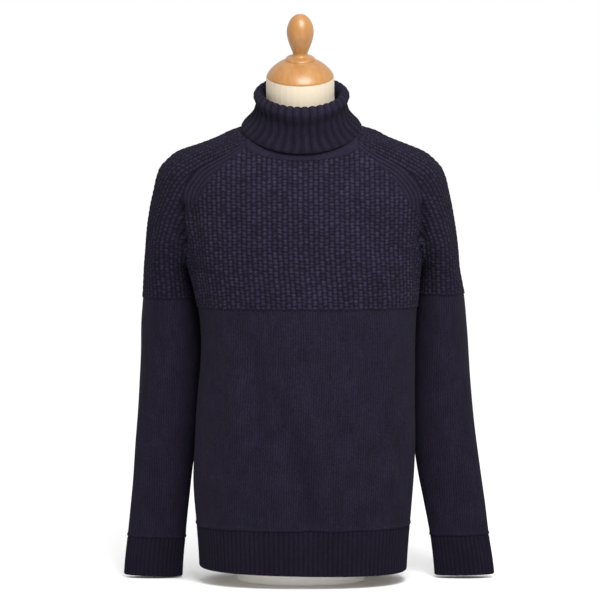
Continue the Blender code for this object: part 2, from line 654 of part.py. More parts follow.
def make_form_body():
    """Torso and leaning neck as one closed loft."""
    angles = np.linspace(0, 2 * math.pi, FORM_COLUMNS, endpoint=False)
    rings = []
    for z in FORM_ROWS:
        mid_x, mid_y, half_x, half_y, _ = body_shape(np.float64(z))
        across = np.column_stack((-half_x * np.sin(angles), -half_y * np.cos(angles), 0 * angles))
        skin = cast(body_field, np.array((mid_x, mid_y, z)), across, REACH)
        rings.append(skin - normals_of(body_field, skin) * inset_at(skin[:, 2]))
    foot = rings[0].mean(axis=0) + (rings[0] - rings[0].mean(axis=0)) * np.array((0.95, 0.93, 0.0))
    foot[:, 2] = FORM_LOW
    rings.insert(0, foot)
    rings += [ring(row, angles, NECK_X) for row in FORM_NECK]
    rings.append(cap_place(NECK_RADIUS * -np.sin(angles), NECK_RADIUS * -np.cos(angles), -PART_GAP + 0 * angles))
    count = len(rings)
    vertices = np.vstack(rings)
    ids = np.arange(count * FORM_COLUMNS).reshape(count, FORM_COLUMNS)
    faces = [tuple(int(v) for v in ids[0][::-1]), tuple(int(v) for v in ids[-1])]
    for a, b in zip(ids[:-1], ids[1:]):
        for k in range(FORM_COLUMNS):
            n = (k + 1) % FORM_COLUMNS
            faces.append((int(a[k]), int(a[n]), int(b[n]), int(b[k])))
    new_object("form_body", vertices, faces, linen)


def cap_centre():
    lift = (CAP_RIM_Z - NECK_FOOT[2])
    return np.array((NECK_X, NECK_FOOT[1] - lift * math.tan(NECK_TILT), CAP_RIM_Z))


def cap_place(x, y, height):
    """Points given across and along the leaning axis of the neck."""
    c, s = math.cos(NECK_TILT), math.sin(NECK_TILT)
    return cap_centre() + np.column_stack((x, y * c - height * s, y * s + height * c))


def make_form_cap():
    mesh = bpy.data.meshes.new("form_cap")
    points = [(radius * MM, 0.0, height * MM) for radius, height in CAP_PROFILE]
    mesh.from_pydata(points, [(k, k + 1) for k in range(len(points) - 1)], [])
    cap = bpy.data.objects.new("form_cap", mesh)
    collection.objects.link(cap)
    mesh.materials.append(wood)
    cap.location = tuple(cap_centre() * MM)
    cap.rotation_euler = (NECK_TILT, 0.0, 0.0)
    screw = cap.modifiers.new("turn", "SCREW")
    screw.steps = screw.render_steps = CAP_STEPS
    screw.use_merge_vertices = True
    screw.merge_threshold = 1e-5
    screw.use_smooth_shade = True


def make_form_foot():
    height = FORM_LOW - PART_GAP
    bpy.ops.mesh.primitive_cylinder_add(vertices=40, radius=0.5, depth=1.0)
    foot = bpy.context.object
    foot.name = foot.data.name = "form_foot"
    foot.scale = (FOOT_SIZE[0] * MM, FOOT_SIZE[1] * MM, height * MM)
    foot.location = (0.0, 0.0, height * MM / 2)
    bpy.ops.object.transform_apply(location=False, rotation=False, scale=True)
    bevel = foot.modifiers.new("soft edges", "BEVEL")
    bevel.width = 2.5 * MM
    bevel.segments = 2
    bevel.limit_method = "ANGLE"
    foot.data.materials.append(painted)
    for owner in list(foot.users_collection):
        owner.objects.unlink(foot)
    collection.objects.link(foot)


def new_material(name, colour, roughness):
    material = bpy.data.materials.new(name)
    material.use_nodes = True
    shader = material.node_tree.nodes["Principled BSDF"]
    shader.inputs["Base Color"].default_value = (*colour, 1.0)
    shader.inputs["Roughness"].default_value = roughness
    shader.inputs["Metallic"].default_value = 0.0
    return material


for thing in list(bpy.data.objects):
    bpy.data.objects.remove(thing)
collection = bpy.data.collections.new("turtleneck_sweater")
bpy.context.scene.collection.children.link(collection)

knit = new_material("navy_knit", (0.022, 0.018, 0.038), 0.95)
linen = new_material("cream_linen", (0.86, 0.74, 0.57), 0.85)
wood = new_material("turned_wood", (0.78, 0.42, 0.16), 0.4)
painted = new_material("pale_foot", (0.85, 0.83, 0.79), 0.6)

left_seams, right_seams = seam_points(-1.0), seam_points(1.0)
necklines = make_body((left_seams, right_seams))
left_saddle = make_sleeve("sleeve_left", -1.0, left_seams, CUFF_LEFT)
right_saddle = make_sleeve("sleeve_right", 1.0, right_seams, CUFF_RIGHT)
make_hem()
make_cuff("cuff_left", -1.0, CUFF_LEFT)
make_cuff("cuff_right", 1.0, CUFF_RIGHT)
make_neck_band(necklines, (left_saddle, right_saddle))
make_collar()
make_form_body()
make_form_cap()
make_form_foot()
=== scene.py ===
# Knitted turtleneck sweater on its dress form: stitches, ribs, folds, cover and turned wood.
# The tables are in millimetres, as the solids' are, and the meshes are scaled to metres.
import math

import bmesh
import bpy
import numpy as np
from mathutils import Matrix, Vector


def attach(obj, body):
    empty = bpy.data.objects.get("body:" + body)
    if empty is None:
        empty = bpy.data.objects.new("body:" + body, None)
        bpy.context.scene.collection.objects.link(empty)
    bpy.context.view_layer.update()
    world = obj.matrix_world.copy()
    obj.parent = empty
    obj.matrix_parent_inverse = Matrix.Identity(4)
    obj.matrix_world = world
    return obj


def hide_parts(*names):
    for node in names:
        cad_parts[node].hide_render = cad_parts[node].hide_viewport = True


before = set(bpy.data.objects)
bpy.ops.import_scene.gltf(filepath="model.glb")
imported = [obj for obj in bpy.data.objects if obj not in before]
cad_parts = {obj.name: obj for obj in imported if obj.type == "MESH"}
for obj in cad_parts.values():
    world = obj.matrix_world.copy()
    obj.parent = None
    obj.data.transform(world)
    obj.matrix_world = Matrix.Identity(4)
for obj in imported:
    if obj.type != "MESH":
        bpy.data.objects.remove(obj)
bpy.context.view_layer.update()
mm = 0.001

# the garment's form

# height, left, right, front, back, squareness
bodyTable = (
    (20, -160, 165, -113, 111, 2.4), (50, -161.5, 166.8, -113, 111, 2.4),
    (90, -164.5, 170, -113.5, 110, 2.4), (167, -169, 176, -115, 108, 2.4),
    (206, -167.7, 177.5, -115, 106, 2.4), (299, -162, 177.3, -115.5, 103, 2.4),
    (338, -158.3, 177.6, -116, 103, 2.4), (380, -156.8, 177.7, -117, 104, 2.4),
    (429, -161.5, 179.7, -118.5, 106, 2.4), (459, -168, 183, -119, 107, 2.4),
    (487, -175.5, 185.7, -119, 108, 2.4), (518, -183, 189, -118.5, 108.5, 2.38),
    (565, -196, 198, -116, 108.5, 2.32), (611, -208.5, 209, -107.5, 106.5, 2.2),
    (635, -214, 213, -99, 103, 2), (650, -213, 211, -92.5, 99.5, 1.9),
    (660, -207, 205.5, -87.5, 96.5, 1.85), (672, -191, 190, -80.5, 93, 1.82),
    (684, -157.5, 161.5, -70, 89.5, 1.8), (695, -130.5, 134, -55.5, 87, 1.85),
    (705, -110, 114, -38, 84, 1.9), (712.5, -88, 89.5, -18, 81, 1.95),
    (722, -72, 72, 8, 77.5, 2), (730, -54, 54, 31, 74, 2),
    (735, -22, 22, 48, 66, 2),
)
# height, outer edge, inner edge, middle of its depth, half its depth
leftTable = (
    (-10, -281.5, -188, 28, 18), (26, -279, -186.4, 28, 18),
    (73, -274, -182, 30, 20), (120, -269.5, -177.3, 33, 25),
    (167, -265, -172.6, 37, 31), (213, -261.8, -166, 41, 36.5),
    (260, -258.6, -161, 43, 41), (307, -256, -157, 45, 46),
    (354, -254.2, -153, 47, 51), (401, -253.2, -155.5, 45, 57),
    (448, -249.6, -164, 44, 61), (471, -248.4, -170.6, 42, 63),
    (487, -247.3, -174.5, 37, 65), (518, -244, -170, 26, 69),
    (565, -239.2, -152, 14, 67.5), (611, -229.3, -140, 9, 60),
    (635, -218.5, -140, 6, 52), (650, -207, -145, 5, 43),
    (664, -182, -150, 5, 24),
)
rightTable = (
    (-10, 306.5, 211, 26, 18.5), (26, 302.5, 208, 26, 18.5),
    (73, 295.5, 202, 28, 20.5), (120, 290, 193.5, 32, 25.5),
    (167, 283, 183.8, 37, 31.5), (213, 277, 177.5, 41, 37),
    (260, 271.5, 174.8, 43, 41.5), (307, 267.5, 173.2, 45, 46),
    (354, 264.5, 173.6, 47, 51), (401, 261, 175.6, 45, 57),
    (448, 256.5, 180.6, 44, 61), (471, 252, 183.6, 42, 63),
    (487, 248.5, 184.8, 37, 65), (518, 244.8, 176, 26, 69),
    (565, 238, 156, 14, 67.5), (611, 228, 142, 9, 60),
    (635, 217.5, 140, 6, 52), (650, 206, 145, 5, 43),
    (664, 182, 150, 5, 24),
)
blendTable = ((470, 4), (480, 4.4), (487, 5.6), (503, 8), (518, 10),
              (560, 18), (600, 30), (640, 30), (680, 12))
# from the neck to the armpit: front seam's x left and right and its height, back seam's the same,
# the sleeve's axis (x left, y, height), rise of its outside in degrees, dip of a front and a back row
stationTable = (
    (-84, 86, 690, -74, 75, 715, -70, 5, 676, 49, 33, -15),
    (-105, 107, 674.5, -98, 99, 703, -96, 4, 664, 72, 23.5, -13),
    (-130, 132, 660.8, -125, 126, 689.5, -122, 3, 650, 76, 16.8, -11),
    (-154, 155, 648, -151, 152, 675, -146, 3, 635, 70, 11, -9),
    (-173, 174, 635, -173, 174, 657, -164, 4, 618, 54, 7, -7),
    (-181, 184, 611, -184, 187, 631, -172, 6, 602, 38, 4, -4),
    (-183.5, 188, 586, -184.5, 189, 602, -180, 9, 583, 24, 2, -2),
    (-182.5, 187.5, 561, -180, 185, 574, -187, 12, 563, 14, 1, 0),
    (-181, 186.5, 539, -176, 181.5, 547, -194, 14, 542, 7, 0, 0),
    (-180, 186, 519, -171.2, 179, 522, -203, 22, 520, 3, 0, 0),
    (-179, 187.1, 503, -172, 181, 503, -208, 27, 503, 0, 0, 0),
)
garment = {
    "armpits": ((-174.2, 18.0, 481.0), (185.0, 17.5, 480.0)),
    "armpitReach": 40.0,
    "seamStart": 130.0,           # distance in front and behind from which the seams are found
    "necklinePower": 2.1,
    "sideSeam": 96.0,            # degrees round from the middle of the front
    "hemLow": 21.0,
    "hemTilt": 0.018,            # the lower edge sinks to the right
    "hemTop": 90.0,
    "bodyYoke": 431.0,
    "leftYoke": 443.0,
    "rightYoke": 449.0,
    "bodyRows": (90, 128, 167, 210, 255, 299, 342, 384, 425, 457),
    "sleeveRows": (466, 440, 412, 380, 347, 313, 278, 243, 207, 171, 136, 102),
    "leftCuff": (64.5, 3.6, 0.03),    # height of the rib's top and lower edge, lean
    "rightCuff": (68.0, 5.2, 0.02),
    "leanRun": 300.0,             # a sleeve takes up its cuff's lean over this height
    "fanDepth": 0.6,
    "ribGap": 0.15,
    "neckLevel": 600.0,           # above it the stitch columns run straight up
    "shoulderTurn": (515.0, 580.0),
    "wall": 2.4,
}
search = {
    "reach": 260.0,               # how far rays look for a surface, and in how many steps
    "steps": 130,
    "halvings": 24,
    "slopeStep": 0.2,
    "settleRounds": 4,
    "settleLimit": 1.5,
    "weakSlope": 0.4,
}
stride = 4                        # the inside takes every fourth point
stations = np.array(stationTable)
front, back = -1.0, 1.0
down = np.array((0.0, 0.0, -1.0))
ahead = np.array((0.0, -1.0, 0.0))


def smoothCurve(at, values):
    # cubic through a table's rows, flat past its ends
    at, values = np.asarray(at, float), np.asarray(values, float)
    slopes = np.gradient(values, at, axis=0)

    def read(x):
        x = np.clip(x, at[0], at[-1])
        k = np.clip(np.searchsorted(at, x, side="right") - 1, 0, len(at) - 2)
        width = (at[k + 1] - at[k])[..., None]
        t = (x - at[k])[..., None] / width
        rise = values[k + 1] * t * t * (3 - 2 * t) + values[k] * (1 - t) ** 2 * (1 + 2 * t)
        return rise + (slopes[k] * t * (1 - t) ** 2 - slopes[k + 1] * t * t * (1 - t)) * width

    return read


def tableCurve(table):
    data = np.array(table, float)
    return smoothCurve(data[:, 0], data[:, 1:])


bodyAt, leftAt, rightAt, blendAt = (tableCurve(t) for t in (bodyTable, leftTable, rightTable, blendTable))


def ovalDistance(points, midX, midY, halfX, halfY, squareness):
    x, y = points[..., 0] - midX, points[..., 1] - midY
    size = np.abs(x / halfX) ** squareness + np.abs(y / halfY) ** squareness
    return (np.hypot(x, y) + 1e-9) * (1 - 1 / np.maximum(size, 1e-9) ** (1 / squareness))


def bodyShape(z):
    left, right, near, far, squareness = np.moveaxis(bodyAt(z), -1, 0)
    return (left + right) / 2, (near + far) / 2, (right - left) / 2, (far - near) / 2, squareness


def sleeveShape(sleeveAt, z):
    outer, inner, middle, halfDepth = np.moveaxis(sleeveAt(z), -1, 0)
    return (outer + inner) / 2, middle, np.abs(outer - inner) / 2, halfDepth


def bodyField(points):
    return ovalDistance(points, *bodyShape(points[..., 2]))


def sleeveField(points, sleeveAt):
    above = np.maximum(points[..., 2] - leftTable[-1][0], 0.0)
    return ovalDistance(points, *sleeveShape(sleeveAt, points[..., 2]), 2.0) + 2.0 * above


def garmentField(points):
    # body and sleeves run softly together, negative inside
    body = bodyField(points)
    sleeves = np.minimum(sleeveField(points, leftAt), sleeveField(points, rightAt))
    radius = blendAt(points[..., 2])[..., 0]
    share = np.clip(1 - np.abs(body - sleeves) / radius, 0, 1)
    return np.minimum(body, sleeves) - share ** 2 * radius / 4


def unit(vectors):
    return vectors / np.maximum(np.linalg.norm(vectors, axis=-1, keepdims=True), 1e-12)


def slopeOf(field, points):
    step = search["slopeStep"]
    axes = np.eye(3) * step
    return np.stack([field(points + a) - field(points - a) for a in axes], axis=-1) / (2 * step)


def cast(field, starts, directions, reach=search["reach"], outwards=True):
    # first place along each ray where the field changes sign
    starts, directions = np.broadcast_arrays(starts, unit(directions))
    sign = 1.0 if outwards else -1.0
    low = np.zeros(starts.shape[:-1])
    high = np.full(starts.shape[:-1], float(reach))
    found = np.zeros(starts.shape[:-1], bool)
    for t in np.linspace(0, reach, search["steps"] + 1)[1:]:
        past = sign * field(starts + directions * t) > 0
        high = np.where(past & ~found, t, high)
        found |= past
        low = np.where(found, low, t)
    for _ in range(search["halvings"]):
        middle = (low + high) / 2
        past = sign * field(starts + directions * middle[..., None]) > 0
        low, high = np.where(past, low, middle), np.where(past, middle, high)
    return starts + directions * ((low + high) / 2)[..., None]


def settle(field, points):
    # moves points onto the surface; in a crease, where the slope is weak, they stay
    weak, limit = search["weakSlope"], search["settleLimit"]
    for _ in range(search["settleRounds"]):
        slope = slopeOf(field, points)
        size = np.sum(slope ** 2, axis=-1, keepdims=True)
        away = field(points)[..., None] * np.where(size > weak, 1 / np.maximum(size, weak), 0)
        points = points - np.clip(away, -limit, limit) * slope
    return points


def gridNormals(points, field, tubeFrom=None):
    # outward normals of a grid; below tubeFrom its first and last column are one
    along, across = np.gradient(points, axis=0), np.gradient(points, axis=1)
    if tubeFrom is not None:
        wrap = points[tubeFrom:, 1] - points[tubeFrom:, -2]
        across[tubeFrom:, 0] = across[tubeFrom:, -1] = wrap / 2
    normals = unit(np.cross(across, along))
    return normals * np.sign(np.sum(normals * slopeOf(field, points), axis=-1).mean())


def seamPoints(mirror):
    # front and back seam of one sleeve, from the neck to the armpit
    side = 0 if mirror < 0 else 1
    lines = []
    for first, way in ((0, -ahead), (3, ahead)):
        x, z = stations[:, first + side], stations[:, first + 2]
        starts = np.column_stack((x, np.full(len(stations), -garment["seamStart"] * way[1]), z))
        lines.append(cast(garmentField, starts, way, outwards=False))
    start = np.array((garment["armpits"][side],))
    armpit = cast(garmentField, start, -down, garment["armpitReach"], outwards=False)
    return [np.vstack((line, armpit)) for line in lines]


def bodyRows(face, leftSeam, rightSeam, dips, columns=20):
    # coarse grid of one body panel, from the hem rib to the neckline
    side = math.radians(garment["sideSeam"] if face == front else 180 - garment["sideSeam"])
    turns = np.linspace(-1, 1, columns + 1)
    points = []
    for z in garment["bodyRows"]:
        midX, midY, halfX, halfY, _ = bodyShape(np.float64(z))
        angles = turns * side
        across = np.column_stack((halfX * np.sin(angles), face * halfY * np.cos(angles), 0 * angles))
        points.append(cast(bodyField, np.array((midX, midY, z)), across))
    for left, right, dip in zip(leftSeam[::-1], rightSeam[::-1], dips[::-1]):
        meanZ = (left[2] + right[2]) / 2
        midX, midY, halfX, halfY, _ = bodyShape(np.float64(meanZ - dip / 2))
        ends = [math.atan2((p[0] - midX) / halfX, face * (p[1] - midY) / halfY) for p in (left, right)]
        angles = ends[0] + (ends[1] - ends[0]) * (turns + 1) / 2
        z = left[2] + (right[2] - left[2]) * (turns + 1) / 2
        z = z - dip * (1 - np.abs(turns) ** garment["necklinePower"])
        starts = np.column_stack((0 * z + midX, 0 * z + midY, z))
        across = np.column_stack((halfX * np.sin(angles), face * halfY * np.cos(angles), 0 * z))
        row = cast(garmentField, starts, across)
        row[0], row[-1] = left, right
        points.append(row)
    return np.array(points)


def fan(axis, outside, depthShare, nearEnd, farEnd, columns):
    ends = [unit(nearEnd - axis), unit(farEnd - axis)]
    turns = []
    for end, forward in zip(ends, (1.0, -1.0)):
        turn = math.atan2(forward * (end @ ahead) / depthShare, end @ outside)
        turns.append(forward * (turn if turn > 0 else turn + 2 * math.pi))
    share = np.linspace(0, 1, columns + 1)
    angles = turns[0] + (turns[1] - turns[0]) * share
    plane = unit(np.outer(np.cos(angles), outside) + depthShare * np.outer(np.sin(angles), ahead))
    for end, weight in ((0, np.clip(1 - 2 * share, 0, 1)), (-1, np.clip(2 * share - 1, 0, 1))):
        plane = plane + np.outer(weight, ends[end] - plane[end])
    return unit(plane)


def sleeveRows(mirror, frontSeam, backSeam, cuff, columns=16):
    # coarse grid of one sleeve, from the neck over the shoulder to the cuff
    sleeveAt = leftAt if mirror < 0 else rightAt
    points = []
    for row, near, far in zip(stationTable, frontSeam, backSeam):
        axis = np.array((-mirror * row[6], row[7], row[8]))
        rise = math.radians(row[9])
        outside = np.array((mirror * math.cos(rise), 0.0, math.sin(rise)))
        share = 1.0 + garment["fanDepth"] * math.cos(rise) ** 2
        line = cast(garmentField, axis, fan(axis, outside, share, near, far, columns))
        line[0], line[-1] = near, far
        points.append(line)
    armpit = frontSeam[-1]
    cuffTop, _, lean = cuff
    for z in (armpit[2],) + garment["sleeveRows"] + (cuffTop,):
        midX, midY, halfX, halfY = sleeveShape(sleeveAt, np.float64(z))
        taken = np.clip((armpit[2] - z) / garment["leanRun"], 0, 1)
        outside = unit(np.array((mirror, 0.0, lean * taken)))
        angles = np.linspace(math.pi, -math.pi, columns + 1)
        rays = halfX * np.outer(np.cos(angles), outside) + halfY * np.outer(np.sin(angles), ahead)
        line = cast(lambda p: sleeveField(p, sleeveAt), np.array((midX, midY, z)), rays)
        if z == armpit[2]:
            line[0] = armpit
        line[-1] = line[0]
        points.append(line)
    return np.array(points)


def closeEnds(at):
    # four close steps at each end of a run of samples, for rounded edges
    first, last = at[1] - at[0], at[-1] - at[-2]
    near = np.array((0.12, 0.3, 0.55, 0.8))
    return np.concatenate((at[:1], at[0] + near * first, at[1:-1], at[-1] - near[::-1] * last, at[-1:]))


def refine(points, split, stepAt):
    # smooth fine grid through a coarse one; rows above and below split don't pull on each other
    middle = points.shape[1] // 2
    samples, blocks = [], []
    for low, high in ((0, split), (split, len(points) - 1)):
        block = points[low:high + 1]
        at = []
        for k in range(len(block) - 1):
            length = np.linalg.norm(block[k + 1, middle] - block[k, middle])
            pieces = max(2, int(round(length / stepAt((block[k, middle, 2] + block[k + 1, middle, 2]) / 2))))
            if k == len(block) - 2:
                pieces += -(sum(len(a) for a in at) + pieces) % stride
            at.append(np.linspace(k, k + 1, pieces, endpoint=False))
        samples.append(np.concatenate(at))
        blocks.append(smoothCurve(np.arange(len(block)), block.reshape(len(block), -1)))
    lower = np.append(samples[1], len(points) - 1 - split)
    every = closeEnds(np.append(samples[0], lower + split))
    splitRow = int(np.searchsorted(every, split))
    rows = np.concatenate((blocks[0](every[:splitRow]), blocks[1](every[splitRow:] - split)))
    rows = rows.reshape(len(rows), -1, 3)
    across = smoothCurve(np.arange(rows.shape[1]), rows.transpose(1, 0, 2).reshape(rows.shape[1], -1))
    at = closeEnds(np.linspace(0, rows.shape[1] - 1, (rows.shape[1] - 1) * knit["columnsEach"] + 1))
    return across(at).reshape(len(at), len(rows), 3).transpose(1, 0, 2), splitRow


def easeStep(value, low, high):
    t = np.clip((value - low) / (high - low), 0, 1)
    return t * t * (3 - 2 * t)


# folds

# start x and height, end x and height, half width, depth (minus for a ridge), face
bodyFolds = (
    (-44, 325, 14, 92, 16, 9, front),
    (-4, 345, 48, 100, 17, -5, front),
    (-82, 420, -64, 235, 15, 6.5, front),
    (-44, 420, -32, 300, 18, -3.5, front),
    (-116, 410, -98, 250, 16, -3, front),
    (110, 475, 106, 285, 15, 6, front),
    (138, 440, 136, 250, 13, -3, front),
    (-138, 500, -100, 560, 14, 3, front),
    (144, 500, 104, 560, 14, 2.6, front),
    (78, 205, 92, 95, 16, 3.4, front),
    (-100, 215, -88, 95, 17, 3.4, front),
    (-70, 430, -58, 250, 20, 4.5, back),
    (-28, 420, -22, 270, 18, -2.5, back),
    (62, 420, 72, 240, 20, 4.5, back),
    (4, 280, -6, 100, 20, 4.5, back),
    (-145, 520, -90, 585, 17, 3, back),
    (145, 520, 92, 580, 17, 3, back),
)
# creases where sleeve and body meet, pressed into both: start and end place, half width, depth
armCreases = (
    (-186, -63, 592, -184.5, -47, 535, 6.5, 6),
    (-185, -62, 588, -184, -36, 520, 5, 4),
    (-182, -62, 528, -175, -40, 470, 14, 8),
    (-170, -78, 575, -160, -72, 440, 15, 6),
    (189, -62, 588, 187.5, -46, 535, 7.5, 5.5),
    (188.5, -61, 584, 186, -36, 520, 5.5, 3.5),
    (186, -62, 530, 185, -40, 470, 14, 7.5),
    (-184, 80, 570, -174, 70, 490, 14, 4),
    (189, 80, 570, 183, 70, 490, 14, 4),
)


def besideLine(points, start, end):
    # share of the way along a line, and distance from it
    run = end - start
    along = ((points - start) @ run) / (run @ run)
    nearest = start + np.clip(along, 0, 1)[..., None] * run
    return along, np.linalg.norm(points - nearest, axis=-1)


def bell(distance, height, halfWidth):
    return height * np.exp(-(distance / halfWidth) ** 2)


foldFade = {"start": -0.05, "full": 0.45, "side": 40.0}   # folds start softly and fade at the sides


def foldDepth(points):
    depth = np.zeros(points.shape[:-1])
    flat = points[..., (0, 2)]
    for x0, z0, x1, z1, halfWidth, press, face in bodyFolds:
        along, across = besideLine(flat, np.array((x0, z0)), np.array((x1, z1)))
        share = easeStep(along, foldFade["start"], foldFade["full"])
        share = share * np.clip(points[..., 1] * face / foldFade["side"], 0, 1)
        depth += bell(across, press, halfWidth) * share
    return depth


def pressed(points, creases):
    # depth of soft troughs that run between two places
    depth = np.zeros(points.shape[:-1])
    for x0, y0, z0, x1, y1, z1, halfWidth, press in creases:
        _, across = besideLine(points, np.array((x0, y0, z0)), np.array((x1, y1, z1)))
        depth += bell(across, press, halfWidth)
    return depth


# relief of the stitches, in the meshes themselves
knit = {
    "columnPitch": 7.93,         # basket stitch of the yoke
    "rowPitch": 9.9,
    "basketRise": 1.5,
    "seamPitch": 6.7,            # ribs beside the saddle and armhole seams
    "seamRise": 1.2,
    "cornerSoftness": 9.0,
    "walePitch": 3.78,           # plain part
    "stitchPitch": 2.9,
    "yokeStep": 1.9,             # mesh steps
    "plainStep": 3.4,
    "stepMargin": 8.0,
    "columnsEach": 12,           # mesh columns between two of the coarse grid
    "yokeEdge": (-1.0, 1.5),     # where the yoke fades in, beside its lowest line
    "bandEdge": (2.0, 1.0),      # and the seam ribs fade out, before and past their reach
    "purlAt": 0.8,
    "purlRow": (0.7, 1.4),       # rise and half width
    "endRowAt": 2.4,             # the row beside a rib
    "hemRow": (1.3, 1.7),
    "cuffRow": (1.1, 1.7),
    "swellEdge": 20.0,
}
# how far the ribs reach from the seam: station from the neck, mm
seamReachAt = tableCurve(((0.0, 12.0), (1.0, 14.0), (2.0, 19.0), (3.0, 27.0), (4.0, 33.0), (5.0, 30.0),
                          (5.8, 21.0), (6.4, 9.0), (7.0, 0.0), (11.0, 0.0)))


def wandering(u, v, seed):
    # the stitches' columns and rows drift a little
    drift = 0.5 * np.sin(u / 6.1 + 1.9 * np.sin(v / 17.0 + seed)) * np.sin(v / 9.3 + 2.0 * seed)
    drop = 0.9 * np.sin(u / 7.7 + 2.3 * np.sin(v / 23.0 - seed)) + 0.5 * np.sin(u / 3.1 + v / 29.0 + seed)
    return u + drift, v + drop * np.clip(np.abs(v) / 6.0, 0, 1)


def basketRelief(u, v):
    column = u / knit["columnPitch"]
    row = v / knit["rowPitch"] + 0.5 * (np.floor(column) % 2)
    ridge = np.abs(np.sin(np.pi * column))
    return ridge * (0.35 + 0.65 * np.abs(np.sin(np.pi * row)) ** 0.8)


def ribRelief(turn):
    # rounded ribs with narrow grooves, one for each whole turn
    return np.abs(np.sin(np.pi * turn)) ** 0.6


def unevenness(points, seed):
    # slow small swells of handled cloth
    x, y, z = np.moveaxis(points, -1, 0)
    swell = np.sin(x / 23.0 + 1.3 * seed + 0.9 * np.sin(z / 41.0)) * np.sin(z / 31.0 + seed)
    swell += 0.7 * np.sin(x / 57.0 - z / 69.0 + 2.1 * seed) + 0.5 * np.sin(y / 19.0 + z / 47.0 + seed)
    return 0.35 * swell


def seamDistance(points, seam, count=160):
    # distance of each point to a seam, and the station of the nearest place on it
    at = np.linspace(0, len(seam) - 1, count)
    line = smoothCurve(np.arange(len(seam)), seam)(at)
    best = np.full(points.shape[:-1], 1e9)
    station = np.zeros(points.shape[:-1])
    for start, end, s in zip(line[:-1], line[1:], at):
        along, away = besideLine(points, start, end)
        station = np.where(away < best, s + np.clip(along, 0, 1) * (at[1] - at[0]), station)
        best = np.minimum(best, away)
    return best, station


def seamRibDistance(points, seam):
    # the same, with the corner between saddle and armhole rounded
    saddle, saddleStation = seamDistance(points, seam[:5], 60)
    armhole, armholeStation = seamDistance(points, seam[4:], 100)
    soft = knit["cornerSoftness"]
    least = np.minimum(saddle, armhole)
    other = np.maximum(saddle, armhole) - least
    station = np.where(saddle < armhole, saddleStation, armholeStation + 4)
    return np.maximum(least - soft * np.log1p(np.exp(-other / soft)), 0.0), station


def arcs(points, axis):
    lengths = np.linalg.norm(np.diff(points, axis=axis), axis=-1)
    start = np.zeros_like(np.take(lengths, [0], axis=axis))
    return np.concatenate((start, np.cumsum(lengths, axis=axis)), axis=axis)


def fromEnds(points, axis):
    along = arcs(points, axis)
    return np.minimum(along, np.take(along, [-1], axis=axis) - along)


def roundedEdge(distance, radius=1.9, drop=1.0):
    return drop * np.clip(1 - distance / radius, 0, 1) ** 2


def atRib(distance):
    # the edge that meets a rib stays nearly level with it
    return np.clip(distance / 4.0, 0, 1)


def edgeFaces(fine, coarse):
    faces = []
    ratio = (len(fine) - 1) // (len(coarse) - 1)
    half = ratio // 2
    for k in range(len(coarse) - 1):
        near, far = coarse[k], coarse[k + 1]
        run = fine[k * ratio:(k + 1) * ratio + 1]
        faces += [(a, b, near) for a, b in zip(run[:half], run[1:half + 1])]
        faces.append((run[half], far, near))
        faces += [(a, b, far) for a, b in zip(run[half:], run[half + 1:])]
    return faces


def quads(ids):
    return np.stack((ids[:-1, :-1], ids[:-1, 1:], ids[1:, 1:], ids[1:, :-1]), axis=-1).reshape(-1, 4)


def placed(name, data):
    made = bpy.data.objects.new(name, data)
    bpy.context.scene.collection.objects.link(made)
    return made


def newPiece(name, vertices, faces, layers, material):
    mesh = bpy.data.meshes.new(name)
    mesh.from_pydata((np.asarray(vertices) * mm).tolist(), [], faces)
    corner = np.zeros(len(mesh.loops), np.int32)
    mesh.loops.foreach_get("vertex_index", corner)
    for layerName, values in layers.items():
        layer = mesh.uv_layers.new(name=layerName)
        layer.data.foreach_set("uv", np.asarray(values, np.float32)[corner].ravel())
    bm = bmesh.new()
    bm.from_mesh(mesh)
    bmesh.ops.remove_doubles(bm, verts=bm.verts, dist=2e-6)
    bmesh.ops.recalc_face_normals(bm, faces=bm.faces)
    bm.to_mesh(mesh)
    bm.free()
    mesh.shade_smooth()
    mesh.materials.append(material)
    return placed(name, mesh)


def stitchLayer(turns, along):
    return {"stitch": np.stack((turns + 0 * along, along + 0 * turns), axis=-1)}


def shell(name, outer, inside, layers, material, closed=False):
    # thin wall: a fine outside, a coarser inside and rims between them
    inner = inside[::stride, ::stride]
    outIds = np.arange(outer.shape[0] * outer.shape[1]).reshape(outer.shape[:2])
    inIds = np.arange(inner.shape[0] * inner.shape[1]).reshape(inner.shape[:2]) + outIds.size
    both = {}
    for key, values in layers.items():
        coarse = values[::stride, ::stride][:inner.shape[0], :inner.shape[1]]
        both[key] = np.vstack((values.reshape(-1, 2), coarse.reshape(-1, 2)))
    if closed:
        outIds, inIds = np.column_stack((outIds, outIds[:, 0])), np.column_stack((inIds, inIds[:, 0]))
    faces = quads(outIds).tolist() + quads(inIds)[:, ::-1].tolist()
    faces += edgeFaces(outIds[0], inIds[0]) + edgeFaces(outIds[-1], inIds[-1])
    if not closed:
        meets = np.linalg.norm(inner[:, 0] - inner[:, -1], axis=-1) < 1e-6
        openRows = len(meets) if not meets.any() else int(np.argmax(meets)) + 1
        for column in (0, -1):
            faces += edgeFaces(outIds[:(openRows - 1) * stride + 1, column], inIds[:openRows, column])
    vertices = np.vstack((outer.reshape(-1, 3), inner.reshape(-1, 3)))
    return newPiece(name, vertices, [tuple(int(v) for v in face) for face in faces], both, material)


